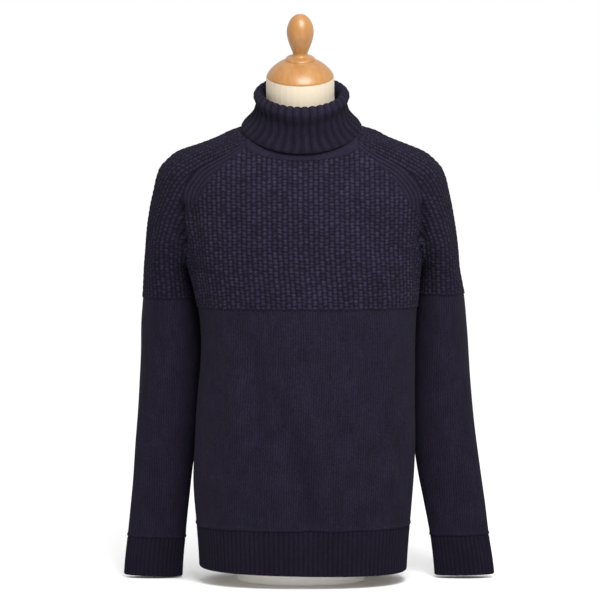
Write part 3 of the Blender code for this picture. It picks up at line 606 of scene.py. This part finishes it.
# shader maths, written as plain arithmetic on node outputs
class Value:
    tree = None

    def __init__(self, socket):
        self.socket = socket

    @classmethod
    def node(cls, kind, settings=None, inputs=None, output=0):
        made = cls.tree.nodes.new(kind)
        for name, value in (settings or {}).items():
            setattr(made, name, value)
        for name, value in (inputs or {}).items():
            if isinstance(value, Value):
                cls.tree.links.new(value.socket, made.inputs[name])
            else:
                made.inputs[name].default_value = value
        return cls(made.outputs[output])

    def maths(self, operation, *others):
        return Value.node("ShaderNodeMath", {"operation": operation}, dict(enumerate((self,) + others)))

    def __add__(self, other):
        return self.maths("ADD", other)

    def __sub__(self, other):
        return self.maths("SUBTRACT", other)

    def __mul__(self, other):
        return self.maths("MULTIPLY", other)

    def __truediv__(self, other):
        return self.maths("DIVIDE", other)

    def __pow__(self, other):
        return self.maths("POWER", other)

    def __rsub__(self, other):
        return Value.node("ShaderNodeMath", {"operation": "SUBTRACT"}, {0: other, 1: self})

    __radd__, __rmul__ = __add__, __mul__

    def __abs__(self):
        return self.maths("ABSOLUTE")

    def fract(self):
        return self.maths("FRACT")

    def floor(self):
        return self.maths("FLOOR")

    def sine(self):
        return self.maths("SINE")

    def between(self, low, high):
        inputs = {"Value": self, "From Min": low, "From Max": high}
        return Value.node("ShaderNodeMapRange", {"interpolation_type": "SMOOTHSTEP"}, inputs)


def partsOf(vector):
    split = Value.node("ShaderNodeSeparateXYZ", inputs={"Vector": vector})
    return [Value(split.socket.node.outputs[k]) for k in range(3)]


def uvPair(name):
    return partsOf(Value.node("ShaderNodeUVMap", {"uv_map": name}))[:2]


def objectPlace():
    return Value.node("ShaderNodeTexCoord", output=3)


def pair(first, second):
    return Value.node("ShaderNodeCombineXYZ", inputs={"X": first, "Y": second})


def chanceIn(column, row):
    # a random number for each cell
    cell = {"Vector": pair(column, row)}
    return Value.node("ShaderNodeTexWhiteNoise", {"noise_dimensions": "2D"}, cell)


def noise(vector, scale, detail=3.0, roughness=0.55):
    return Value.node("ShaderNodeTexNoise", inputs={"Vector": vector, "Scale": scale, "Detail": detail,
                                                    "Roughness": roughness})


def mixed(share, first, second):
    settings = {"data_type": "RGBA", "clamp_factor": True}
    made = Value.node("ShaderNodeMix", settings, {0: share, 6: first, 7: second})
    return Value(made.socket.node.outputs[2])


def scaled(colour, factor):
    # a colour made lighter or darker by a number that varies
    vector = Value.node("ShaderNodeCombineXYZ", inputs={0: factor, 1: factor, 2: factor})
    return Value.node("ShaderNodeVectorMath", {"operation": "MULTIPLY"}, {0: colour, 1: vector})


def newMaterial(name, roughness, specular=0.5, sheen=0.0, coat=0.0):
    material = bpy.data.materials.new(name)
    material.use_nodes = True
    Value.tree = material.node_tree
    shader = material.node_tree.nodes["Principled BSDF"]
    shader.inputs["Roughness"].default_value = roughness
    shader.inputs["Specular IOR Level"].default_value = specular
    shader.inputs["Sheen Weight"].default_value = sheen
    shader.inputs["Sheen Roughness"].default_value = 0.6
    shader.inputs["Coat Weight"].default_value = coat
    return material, shader


def link(value, socket):
    Value.tree.links.new(value.socket, socket)


def bumped(height, distance=1.0):
    return Value.node("ShaderNodeBump", inputs={"Height": height, "Distance": distance, "Strength": 1.0})


wool = {
    "colour": (0.0187, 0.0154, 0.0312),
    "roughness": 0.93,
    "specular": 0.035,
    "sheen": 0.008,
    "basketBump": 0.0013,
    "plainBump": 0.0007,
    "ribBump": 0.0007,
    "fuzzBump": 0.00025,
    # least tone and gain of each part of the shade
    "stitches": (0.2, 0.9),
    "fuzz": (0.4, 1.2),
    "marl": (0.4, 1.2),
    "patch": (0.74, 0.52),
    "loop": (0.8, 0.2),
    "ridge": (0.12, 0.88),
    "block": (0.3, 0.7),
    "middle": (0.4, 0.6),
    "cell": (0.38, 0.38),
    "halfCell": 0.60,
    "faint": (0.04, 0.5),
    "streaks": (0.21, 0.40),
    "seamRibs": (0.05, 0.36),
    "ribStreaks": (0.7, 0.6),
    "purl": 0.7,
}


def toned(value, part):
    least, gain = wool[part]
    return least + gain * value


def woolFinish(shader, stitches, depth):
    # groove shade, yarn fuzz and slow unevenness over the stitches' height (0 to 1)
    place = objectPlace()
    fuzz = noise(place, 1100.0)
    marl = noise(place, 380.0, 2.0)
    patch = noise(place, 30.0)
    shade = toned(stitches, "stitches") * toned(fuzz, "fuzz") * toned(marl, "marl") * toned(patch, "patch")
    link(scaled(wool["colour"], shade), shader.inputs["Base Color"])
    whole = stitches * depth + fuzz * wool["fuzzBump"]
    link(bumped(whole), shader.inputs["Normal"])


def wales(turn, along, groove):
    # one wale for each whole turn, with slanted loops that meet in its middle
    side = abs(turn.fract() - 0.5) * 2.0
    loop = ((along + side * 0.5) * (2 * math.pi)).sine() * 0.5 + 0.5
    return (1.0 - side ** 3.0 * (1.0 - groove)) * toned(loop, "loop")


def makePanelWool(name, basketShade):
    material, shader = newMaterial(name, wool["roughness"], wool["specular"], wool["sheen"])
    u, v = uvPair("stitch")
    distance, band = uvPair("zone")
    column = u / knit["columnPitch"]
    odd = (column / 2.0).fract().maths("GREATER_THAN", 0.5)
    row = v / knit["rowPitch"] + 0.5 * odd
    ridge = abs((column * math.pi).sine()) ** 1.1
    block = abs((row * math.pi).sine()) ** 0.8
    middle = abs((row * (2 * math.pi)).sine()) ** 0.8
    chance = chanceIn(column.floor(), row.floor())
    second = chanceIn(column.floor(), (row * 2.0).floor() + 60.5)
    basket = toned(ridge, "ridge") * toned(block, "block") * toned(middle, "middle")
    basket = basket * (toned(chance, "cell") + wool["halfCell"] * second) * basketShade
    streaks = noise(pair(u * 0.13, v * 0.03), 1.0)
    faint = toned(noise(pair(u * 0.05, v * 0.02 + 9.0), 1.0).between(0.3, 0.7), "faint")
    plain = wales(u / knit["walePitch"], v / knit["stitchPitch"], faint) * toned(streaks, "streaks")
    yoke = v.between(-0.8, 1.2)
    seamRibs = toned(abs((distance / knit["seamPitch"] * math.pi).sine()) ** 0.7, "seamRibs")
    cloth = plain + (basket - plain) * yoke
    cloth = cloth + (seamRibs - cloth) * band
    # dark dashes of the purl row where the yoke starts
    dash = abs((u / knit["columnPitch"] * math.pi).sine()).between(0.15, 0.6)
    purl = (1.0 - abs(v + 1.6).between(0.4, 1.7)) * dash * (1.0 - band)
    cloth = cloth * (1.0 - wool["purl"] * purl)
    depth = wool["plainBump"] + (wool["basketBump"] - wool["plainBump"]) * yoke
    woolFinish(shader, cloth, depth)
    return material


def makeRibWool(name, stitch, tone, groove, walesEach, fallShadeSpan=None):
    # ribs for each whole turn of u, made of so many wales; on the collar the fall below the roll gets wider
    # grooves and painted shade, with more painted shade in the hollow under the roll
    material, shader = newMaterial(name, wool["roughness"], wool["specular"], wool["sheen"])
    u, v = uvPair("stitch")
    rib = abs((u * math.pi).sine()) ** 0.7
    # painted shade: the fall is darker below the given span along it, darkest in the hollow under the roll,
    # and its rib tops are narrower
    if fallShadeSpan:
        fallShade = 1.0 - v.between(*fallShadeSpan)
        hollowShade = 1.0 - abs(v - fallShadeSpan[0]).between(4.0, 26.0)
        rib = (rib + fallShade * (rib * rib - rib)) * (1.0 - 0.38 * fallShade) * (1.0 - 0.30 * hollowShade)
    rib = groove + (1.0 - groove) * rib
    streaks = noise(pair(u * 0.9, v * 0.03), 1.0)
    loops = wales(u * walesEach, v / stitch, 0.6)
    woolFinish(shader, rib * loops * toned(streaks, "ribStreaks") * tone, wool["ribBump"])
    return material


# painted shade: the sleeves' copy has its basket drawn darker than the same knit on the body
bodyWool, sleeveWool = makePanelWool("navyPanels", 1.0), makePanelWool("navySleeves", 0.78)
# the hem and cuff ribs are toned darker: painted shade of their deep grooves and of the sweater's dimmer
# lower edges
ribWool = makeRibWool("navyRibs", 3.0, 0.27, 0.18, 2.0)
collarWool = makeRibWool("navyCollar", 3.4, 0.45, 0.08, 3.0, (42.0, 64.0))
bandWool = makeRibWool("navyBand", 3.4, 0.47, 0.70, 1.0)
print("wool materials made")

seams = {-1.0: seamPoints(-1.0), 1.0: seamPoints(1.0)}


def stepAt(yokeHeight):
    return lambda z: knit["yokeStep"] if z > yokeHeight - knit["stepMargin"] else knit["plainStep"]


def makePanel(name, face, sheet):
    # one half of the body, side seam to side seam
    line = 0 if face == front else 1
    left, right = seams[-1.0][line], seams[1.0][line]
    coarse = bodyRows(face, left, right, np.append(stations[:, 10 if face == front else 11], 0.0))
    split = len(garment["bodyRows"])
    base, _ = refine(coarse, split, stepAt(garment["bodyYoke"]))
    base = settle(garmentField, base)
    normals = gridNormals(base, garmentField)
    middle = base.shape[1] // 2
    across = arcs(base, 1)
    across = across - across[:, middle:middle + 1]
    level = int(np.argmin(np.abs(base[:, middle, 2] - garment["neckLevel"])))
    u, v = across.copy(), base[..., 2] - garment["bodyYoke"]
    depthSteps, heightSteps = np.moveaxis(np.diff(base[level:, :, 1:], axis=0), -1, 0)
    v[level + 1:] = v[level] + np.cumsum(np.hypot(depthSteps, heightSteps), axis=0)
    for row in range(level + 1, len(base)):
        u[row] = np.interp(base[row, :, 0], base[level, :, 0], across[level])
    u, v = wandering(u, v, sheet["seed"])
    away, station = seamRibDistance(base, left)
    awayRight, stationRight = seamRibDistance(base, right)
    nearRight = awayRight < away
    away, station = np.where(nearRight, awayRight, away), np.where(nearRight, stationRight, station)
    reach = seamReachAt(station)[..., 0]
    before, past = knit["bandEdge"]
    band = np.where(reach > 1, 1 - easeStep(away, reach - before, reach + past), 0)
    yoke = easeStep(v, *knit["yokeEdge"]) * (1 - band)
    rise = yoke * basketRelief(u, v) * knit["basketRise"]
    rise += band * ribRelief(away / knit["seamPitch"]) * knit["seamRise"]
    rise += bell(v - knit["purlAt"], *knit["purlRow"]) * (1 - band)
    rise += bell(base[..., 2] - garment["hemTop"] - knit["endRowAt"], *knit["hemRow"])
    edge = np.minimum(fromEnds(base, 0), fromEnds(base, 1))
    press = foldDepth(base) + pressed(base, armCreases)
    rise -= roundedEdge(edge) * atRib(arcs(base, 0)) + press
    rise += unevenness(base, sheet["seed"]) * np.clip(edge / knit["swellEdge"], 0, 1)
    outer = base + normals * rise[..., None]
    inside = base - normals * (press + garment["wall"])[..., None]
    layers = {"stitch": np.stack((u, v), axis=-1), "zone": np.stack((away, band), axis=-1)}
    piece = shell(name, outer, inside, layers, bodyWool)
    return piece, base[-1], normals[-1]


def tubeArc(points, sleeveAt, mirror):
    # length round the sleeve's level oval from its outermost line, forwards and backwards
    midX, midY, halfX, halfY = sleeveShape(sleeveAt, points[..., 2])
    turn = np.arctan2(-(points[..., 1] - midY) / halfY, mirror * (points[..., 0] - midX) / halfX)
    total = np.zeros(turn.shape)
    for share in (np.arange(24) + 0.5) / 24:
        total += np.hypot(halfX * np.sin(turn * share), halfY * np.cos(turn * share)) * turn / 24
    return total


def makeSleeve(name, mirror, cuff, yokeHeight, sheet):
    # saddle over the shoulder and the tube below it
    sleeveAt = leftAt if mirror < 0 else rightAt
    field = lambda p: sleeveField(p, sleeveAt)
    coarse = sleeveRows(mirror, *seams[mirror], cuff)
    base, armpit = refine(coarse, len(stations), stepAt(yokeHeight))
    base = np.concatenate((settle(garmentField, base[:armpit]), settle(field, base[armpit:])))
    base[armpit:, -1] = base[armpit:, 0]
    normals = gridNormals(base, garmentField, armpit)
    middle = base.shape[1] // 2
    across, along = arcs(base, 1), arcs(base, 0)
    outer = base[:, middle]
    overShoulder = easeStep(outer[:, 2:3], *garment["shoulderTurn"])
    order = np.argsort(outer[:, 2])
    start = np.interp(yokeHeight, outer[order, 2], along[order, middle])
    tubeU = tubeArc(base, sleeveAt, mirror)
    u = tubeU + (across[:, middle:middle + 1] - across - tubeU) * overShoulder
    v = base[..., 2] - yokeHeight
    v = v + (start - along[:, middle:middle + 1] - v) * overShoulder
    u, v = wandering(u, v, sheet["seed"])
    rise = easeStep(v, *knit["yokeEdge"]) * basketRelief(u, v) * knit["basketRise"]
    fromCuff = along[-1:] - along
    rise += bell(v - knit["purlAt"], *knit["purlRow"]) + bell(fromCuff - knit["endRowAt"], *knit["cuffRow"])
    sides = fromEnds(base, 1)
    sides[armpit:] = 1e3
    edge = np.minimum(fromEnds(base, 0), sides)
    press = pressed(base, sheet["folds"] + armCreases)
    rise += unevenness(base, sheet["seed"]) * np.clip(edge / knit["swellEdge"], 0, 1)
    rise -= roundedEdge(edge) * atRib(fromCuff) + press
    rise[armpit:, 0] = rise[armpit:, -1] = (rise[armpit:, 0] + rise[armpit:, -1]) / 2
    outside = base + normals * rise[..., None]
    inside = base - normals * (press + garment["wall"])[..., None]
    layers = {"stitch": np.stack((u, v), axis=-1), "zone": np.zeros(u.shape + (2,))}
    piece = shell(name, outside, inside, layers, sleeveWool)
    return piece, base[0], normals[0]


frontSheet, backSheet = {"seed": 0.4}, {"seed": 2.2}
leftSheet = {
    "seed": 1.1,
    "folds": (
        (-250, 0, 330, -205, -12, 300, 10, 1.6),
        (-175, -8, 400, -215, -18, 350, 11, 1.8),
        (-240, 80, 340, -190, 92, 300, 11, 1.8),
        (-180, 80, 420, -225, 95, 380, 12, 1.8),
    ),
}
rightSheet = {
    "seed": 3.0,
    "folds": (
        (262, 0, 330, 215, -12, 295, 10, 1.6),
        (185, -8, 400, 225, -18, 350, 11, 1.8),
        (250, 80, 340, 200, 92, 300, 11, 1.8),
        (190, 80, 420, 235, 95, 380, 12, 1.8),
    ),
}
frontCloth, frontNeck, frontNormals = makePanel("frontKnit", front, frontSheet)
backCloth, backNeck, backNormals = makePanel("backKnit", back, backSheet)
print("front and back made")
leftSleeve, leftNeck, leftNormals = makeSleeve("leftSleeveKnit", -1.0, garment["leftCuff"],
                                               garment["leftYoke"], leftSheet)
rightSleeve, rightNeck, rightNormals = makeSleeve("rightSleeveKnit", 1.0, garment["rightCuff"],
                                                  garment["rightYoke"], rightSheet)
print("sleeves made")


def ribTurns(settings):
    # ribs counted round a tube, and their angles
    turns = np.linspace(0, settings["ribs"], settings["ribs"] * settings["columnsEach"], endpoint=False)
    return turns, turns / settings["ribs"] * 2 * math.pi


def ribbedTube(name, base, normals, turns, rise, foldPress=0.0):
    # base has rows along the tube and columns round it
    along = arcs(base, 0)
    edge = fromEnds(base, 0)
    relief = rise * ribRelief(turns) * np.clip(0.4 + edge / 4.0, 0, 1)
    swell = unevenness(base, 0.8) * 0.4 - roundedEdge(edge, 2.4, 1.4) * atRib(along[-1:] - along)
    outer = base + normals * (relief - rise + swell - foldPress)[..., None]
    inside = base - normals * (rise + garment["wall"] + foldPress + 0 * edge)[..., None]
    return shell(name, outer, inside, stitchLayer(turns, along), ribWool, closed=True)


def endRows(low, high, step):
    # whole groups of steps for the inside, close together at both ends
    count = max(2, int(round(abs(high - low) / step / stride))) * stride
    return closeEnds(np.linspace(low, high, count + 1))


hem = {"ribs": 138, "columnsEach": 6, "rise": 1.3, "step": 4.0}


def makeHem():
    turns, angles = ribTurns(hem)
    rows = []
    for z in endRows(garment["hemLow"], garment["hemTop"] - garment["ribGap"], hem["step"]):
        midX, midY, halfX, halfY, _ = bodyShape(np.float64(z))
        across = np.column_stack((-halfX * np.sin(angles), -halfY * np.cos(angles), 0 * angles))
        sinking = garment["hemTilt"] * (midX + across[:, 0]) * (garment["hemTop"] - z)
        sinking /= garment["hemTop"] - garment["hemLow"]
        starts = np.column_stack((midX + 0 * angles, midY + 0 * angles, z - sinking))
        rows.append(cast(bodyField, starts, across))
    base = np.array(rows)
    normals = unit(slopeOf(bodyField, base))
    return ribbedTube("hemRib", base, normals, turns, hem["rise"], foldDepth(base))


cuff = {"ribs": 40, "columnsEach": 8, "rise": 1.1, "step": 4.0}


def makeCuff(name, mirror, place):
    high, low, lean = place
    sleeveAt = leftAt if mirror < 0 else rightAt
    field = lambda p: sleeveField(p, sleeveAt)
    turns, angles = ribTurns(cuff)
    outside = unit(np.array((mirror, 0.0, lean)))
    rows = []
    for z in endRows(low, high - garment["ribGap"], cuff["step"]):
        midX, midY, halfX, halfY = sleeveShape(sleeveAt, np.float64(z))
        rays = -halfX * np.outer(np.cos(angles), outside) + halfY * np.outer(np.sin(angles), ahead)
        rows.append(cast(field, np.array((midX, midY, z)), rays))
    base = np.array(rows)
    return ribbedTube(name, base, unit(slopeOf(field, base)), turns, cuff["rise"])


hemCloth = makeHem()
leftCuffCloth = makeCuff("leftCuffRib", -1.0, garment["leftCuff"])
rightCuffCloth = makeCuff("rightCuffRib", 1.0, garment["rightCuff"])
print("hem and cuffs made")

# rings from the edge of the outer fall over the roll and down inside:
# half width, front and back y, height at front, side and back
collarTable = (
    (94.5, -94.5, 88, 669, 709.5, 731), (76.5, -88, 82, 683, 726.5, 749),
    (70.2, -81, 76, 696, 740, 761), (68.6, -76.8, 71.5, 709.5, 750.5, 774),
    (72.5, -87, 72.5, 727, 759.5, 784), (66.5, -78, 66, 738, 766, 790),
    (60.5, -69.5, 59.5, 731.5, 760, 784.5), (60.5, -69.5, 58.5, 710, 744, 767),
    (67.5, -77.5, 67, 676.5, 713, 740),
)
collar = {"ribs": 36, "columnsEach": 8, "rise": 2.5, "wall": 3.0, "rowsEach": 9, "wander": 0.09,
          "edgeRise": 0.3, "edgeRun": 9.0, "turnStep": 0.01}
band = {"roll": 2.6, "drop": 1.1, "rows": 21, "firstRow": 0.1, "tuck": 0.6, "length": 14.0}


def neckRing(row, angles):
    halfWidth, yFront, yBack, zFront, zSide, zBack = row
    c = np.cos(angles)
    tilt, crown = (zFront - zBack) / 2, (zFront + zBack) / 2 - zSide
    return np.column_stack((-halfWidth * np.sin(angles), (yFront + yBack) / 2 - (yBack - yFront) / 2 * c,
                            zSide + tilt * c + crown * c * c))


def collarFace(rows, angles):
    base = np.array([neckRing(row, angles) for row in rows])
    turned = np.array([neckRing(row, angles + collar["turnStep"]) for row in rows])
    return base, unit(np.cross(np.gradient(base, axis=0), turned - base))


def makeCollar():
    count = len(collarTable) - 1
    at = closeEnds(np.linspace(0, count, count * collar["rowsEach"] + 1))
    rows = smoothCurve(np.arange(count + 1), np.array(collarTable))(at)
    turns, angles = ribTurns(collar)
    base, normals = collarFace(rows, angles)
    edge = fromEnds(base, 0)
    quick, slow = np.sin(5 * angles + at[:, None] * 1.7), np.sin(3 * angles + at[:, None])
    turns = turns + collar["wander"] * quick * slow
    relief = collar["rise"] * ribRelief(turns) * np.clip(collar["edgeRise"] + edge / collar["edgeRun"], 0, 1)
    outer = base + normals * (relief - roundedEdge(edge, 2.6, 1.3))[..., None]
    inside = base - normals * collar["wall"]
    return shell("collarRib", outer, inside, stitchLayer(turns, arcs(base, 0)), collarWool, closed=True)


def makeNeckBand():
    # rolled band from the neckline up to the back of the collar's inner end
    low = np.vstack((leftNeck[:-1], backNeck[:-1], rightNeck[::-1][:-1], frontNeck[::-1][:-1]))
    lowNormals = np.vstack((leftNormals[:-1], backNormals[:-1], rightNormals[::-1][:-1],
                            frontNormals[::-1][:-1]))
    halfWidth, yFront, yBack = collarTable[-1][:3]
    angles = np.arctan2(-low[:, 0] / halfWidth, ((yFront + yBack) / 2 - low[:, 1]) * 2 / (yBack - yFront))
    face, faceNormals = collarFace(collarTable, angles)
    high = face[-1] - faceNormals[-1] * collar["wall"] + unit(face[-1] - face[-2]) * band["drop"]
    bulge = unit(lowNormals - faceNormals[-1])
    share = (np.linspace(band["firstRow"], 1, band["rows"]) ** 2)[:, None, None]
    line = low + (high - low) * share
    swell = np.sin(np.pi * share ** 0.55)
    outer = line + bulge * swell * band["roll"] - lowNormals * (1 - share) ** 6 * band["tuck"]
    inside = line + bulge * (swell * band["roll"] - garment["wall"])
    around = arcs(np.vstack((low, low[:1])), 0)[:-1]
    layers = stitchLayer(around / knit["walePitch"], band["length"] * share[..., 0])
    return shell("neckBandKnit", outer, inside, layers, bandWool, closed=True)


collarCloth = makeCollar()
bandCloth = makeNeckBand()
print("collar and neck band made")

# turned cap on the leaning neck: radius and height above its rim
capTable = (
    (0, 99.7), (5.5, 98.8), (10.6, 96), (15.2, 90.9), (18.9, 83.3), (20.7, 74.4),
    (20.4, 66), (18, 55.7), (14.6, 45.9), (12, 39.5), (11.6, 35.6), (14, 33),
    (19.5, 31.3), (22.1, 29.6), (22.9, 27.9), (23.2, 26.6), (26.4, 24.9), (34, 20.6),
    (42, 14.4), (48, 8), (51.2, 3), (52, 0.2), (51.2, -1), (0, -1),
)
form = {"tilt": math.radians(18.6), "neckX": -2.0, "footY": 10.0, "footZ": 700.0, "rimZ": 788.0,
        "turnSteps": 96, "profileEach": 4}


def makeCap():
    table = np.array(capTable)
    fine = smoothCurve(np.arange(len(table) - 2), table[:-2])
    rows = fine(np.linspace(0, len(table) - 3, (len(table) - 3) * form["profileEach"] + 1))[1:]
    rows = np.vstack((rows, table[-2:-1], table[-2:-1] * (0.5, 1.0)))
    angles = np.linspace(0, 2 * math.pi, form["turnSteps"], endpoint=False)
    x, y = rows[:, :1] * np.cos(angles), rows[:, :1] * np.sin(angles)
    height = rows[:, 1:] + 0 * angles
    c, s = math.cos(form["tilt"]), math.sin(form["tilt"])
    lift = form["rimZ"] - form["footZ"]
    centre = np.array((form["neckX"], form["footY"] - lift * math.tan(form["tilt"]), form["rimZ"]))
    ring = centre + np.stack((x, y * c - height * s, y * s + height * c), axis=-1)
    poles = [centre + np.array((0.0, -h * s, h * c)) for h in (table[0][1], table[-1][1])]
    ids = np.arange(ring.shape[0] * ring.shape[1]).reshape(ring.shape[:2])
    ids = np.column_stack((ids, ids[:, 0]))
    faces = quads(ids).tolist()
    top, bottom = ids[:, :-1].size, ids[:, :-1].size + 1
    faces += [(int(a), int(b), top) for a, b in zip(ids[0], ids[0][1:])]
    faces += [(int(b), int(a), bottom) for a, b in zip(ids[-1], ids[-1][1:])]
    vertices = np.vstack((ring.reshape(-1, 3), poles))
    turned = np.column_stack((np.tile(angles, len(rows)), height.ravel()))
    turned = np.vstack((turned, [(0, 0), (0, 0)]))
    return newPiece("capTurned", vertices, faces, {"turn": turned}, turnedWood)


wood = {"dark": (0.222, 0.093, 0.022, 1.0), "light": (0.278, 0.134, 0.037, 1.0), "bump": 0.00012}
linen = {"colour": (0.447, 0.383, 0.287), "threadPitch": 0.0011, "weaveBump": 0.00012, "slubBump": 0.0001}


def makeWood():
    material, shader = newMaterial("satinWood", 0.36, 0.45, coat=0.1)
    place = objectPlace()
    tilted = Value.node("ShaderNodeMapping", inputs={"Vector": place, "Rotation": (-form["tilt"], 0.0, 0.0),
                                                     "Scale": (1.0, 1.0, 0.12)})
    swirl = noise(tilted, 26.0, 4.0)
    grain = noise(tilted, 190.0, 5.0, 0.65)
    lines = ((swirl * 9.0) * math.pi).sine() * 0.5 + 0.5
    shade = (0.22 * lines + 0.78 * grain).between(0.1, 0.9)
    link(mixed(shade, wood["dark"], wood["light"]), shader.inputs["Base Color"])
    link(0.30 + 0.14 * grain, shader.inputs["Roughness"])
    link(bumped(grain, wood["bump"]), shader.inputs["Normal"])
    return material


def makeLinen():
    material, shader = newMaterial("creamCover", 0.85, sheen=0.1)
    place = objectPlace()
    x, y, z = partsOf(place)
    pitch = math.pi / linen["threadPitch"]
    weave = abs(((x + y) * pitch).sine()) * abs((z * pitch).sine())
    slub = noise(place, 240.0)
    tone = 0.94 + 0.05 * weave + 0.06 * slub
    link(scaled(linen["colour"], tone), shader.inputs["Base Color"])
    link(bumped(weave * linen["weaveBump"] + slub * linen["slubBump"]), shader.inputs["Normal"])
    return material


def makeFootPaint():
    material, shader = newMaterial("palePaint", 0.55)
    place = objectPlace()
    mottle = noise(place, 60.0, 2.0)
    link(scaled((0.85, 0.83, 0.79), 0.96 + 0.06 * mottle), shader.inputs["Base Color"])
    return material


turnedWood, linenCover, footPaint = makeWood(), makeLinen(), makeFootPaint()
capWood = makeCap()
for node, material in (("form_body", linenCover), ("form_foot", footPaint)):
    solid = bpy.data.objects[node]
    solid.data.materials.clear()
    solid.data.materials.append(material)
print("form and cap made")

replaced = {
    "front": frontCloth, "back": backCloth, "sleeve_left": leftSleeve, "sleeve_right": rightSleeve,
    "hem_rib": hemCloth, "cuff_left": leftCuffCloth, "cuff_right": rightCuffCloth,
    "collar": collarCloth, "neck_band": bandCloth,
}
for node, piece in replaced.items():
    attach(piece, "root")
    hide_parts(node)
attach(capWood, "root")
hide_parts("form_cap")

# studio: pale floor, light backdrop, soft lights
floorMesh = bpy.data.meshes.new("floor")
floorMesh.from_pydata([(-40, -40, 0), (40, -40, 0), (40, 40, 0), (-40, 40, 0)], [], [(0, 1, 2, 3)])
floor = placed("floor", floorMesh)
floorPaint, shader = newMaterial("floorPaint", 0.8)
shader.inputs["Base Color"].default_value = (0.93, 0.93, 0.93, 1.0)
floorMesh.materials.append(floorPaint)

world = bpy.data.worlds.new("studio")
bpy.context.scene.world = world
world.use_nodes = True
world.node_tree.nodes["Background"].inputs["Color"].default_value = (1.0, 1.0, 1.0, 1.0)
world.node_tree.nodes["Background"].inputs["Strength"].default_value = 1.0


def aimed(thing, place, aim):
    thing.location = place
    thing.rotation_euler = (Vector(aim) - Vector(place)).to_track_quat("-Z", "Y").to_euler()


studio = {
    # name: kind, place, aim, size or angle, watts or strength
    "key": ("AREA", (0.25, -0.98, 1.36), (0.0, -0.1, 0.60), 0.7, 26.0),
    "overhead": ("SUN", (0.0, -0.3, 3.0), (0.0, 0.0, 0.0), math.radians(70), 0.4),
}
for name, (kind, place, aim, spread, power) in studio.items():
    light = bpy.data.lights.new(name, kind)
    light.energy = power
    if kind == "SUN":
        light.angle = spread
    else:
        light.size = spread
    aimed(placed(name, light), place, aim)

cameraData = bpy.data.cameras.new("camera")
cameraData.lens, cameraData.sensor_width = 173.0, 36.0
camera = placed("camera", cameraData)
aimed(camera, (-0.0023, -4.5, 0.676), (-0.0023, 0.0, 0.440))
bpy.context.scene.camera = camera
bpy.context.scene.view_settings.view_transform = "Standard"

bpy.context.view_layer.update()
for node, piece in replaced.items():
    print(node, len(piece.data.polygons), "faces")
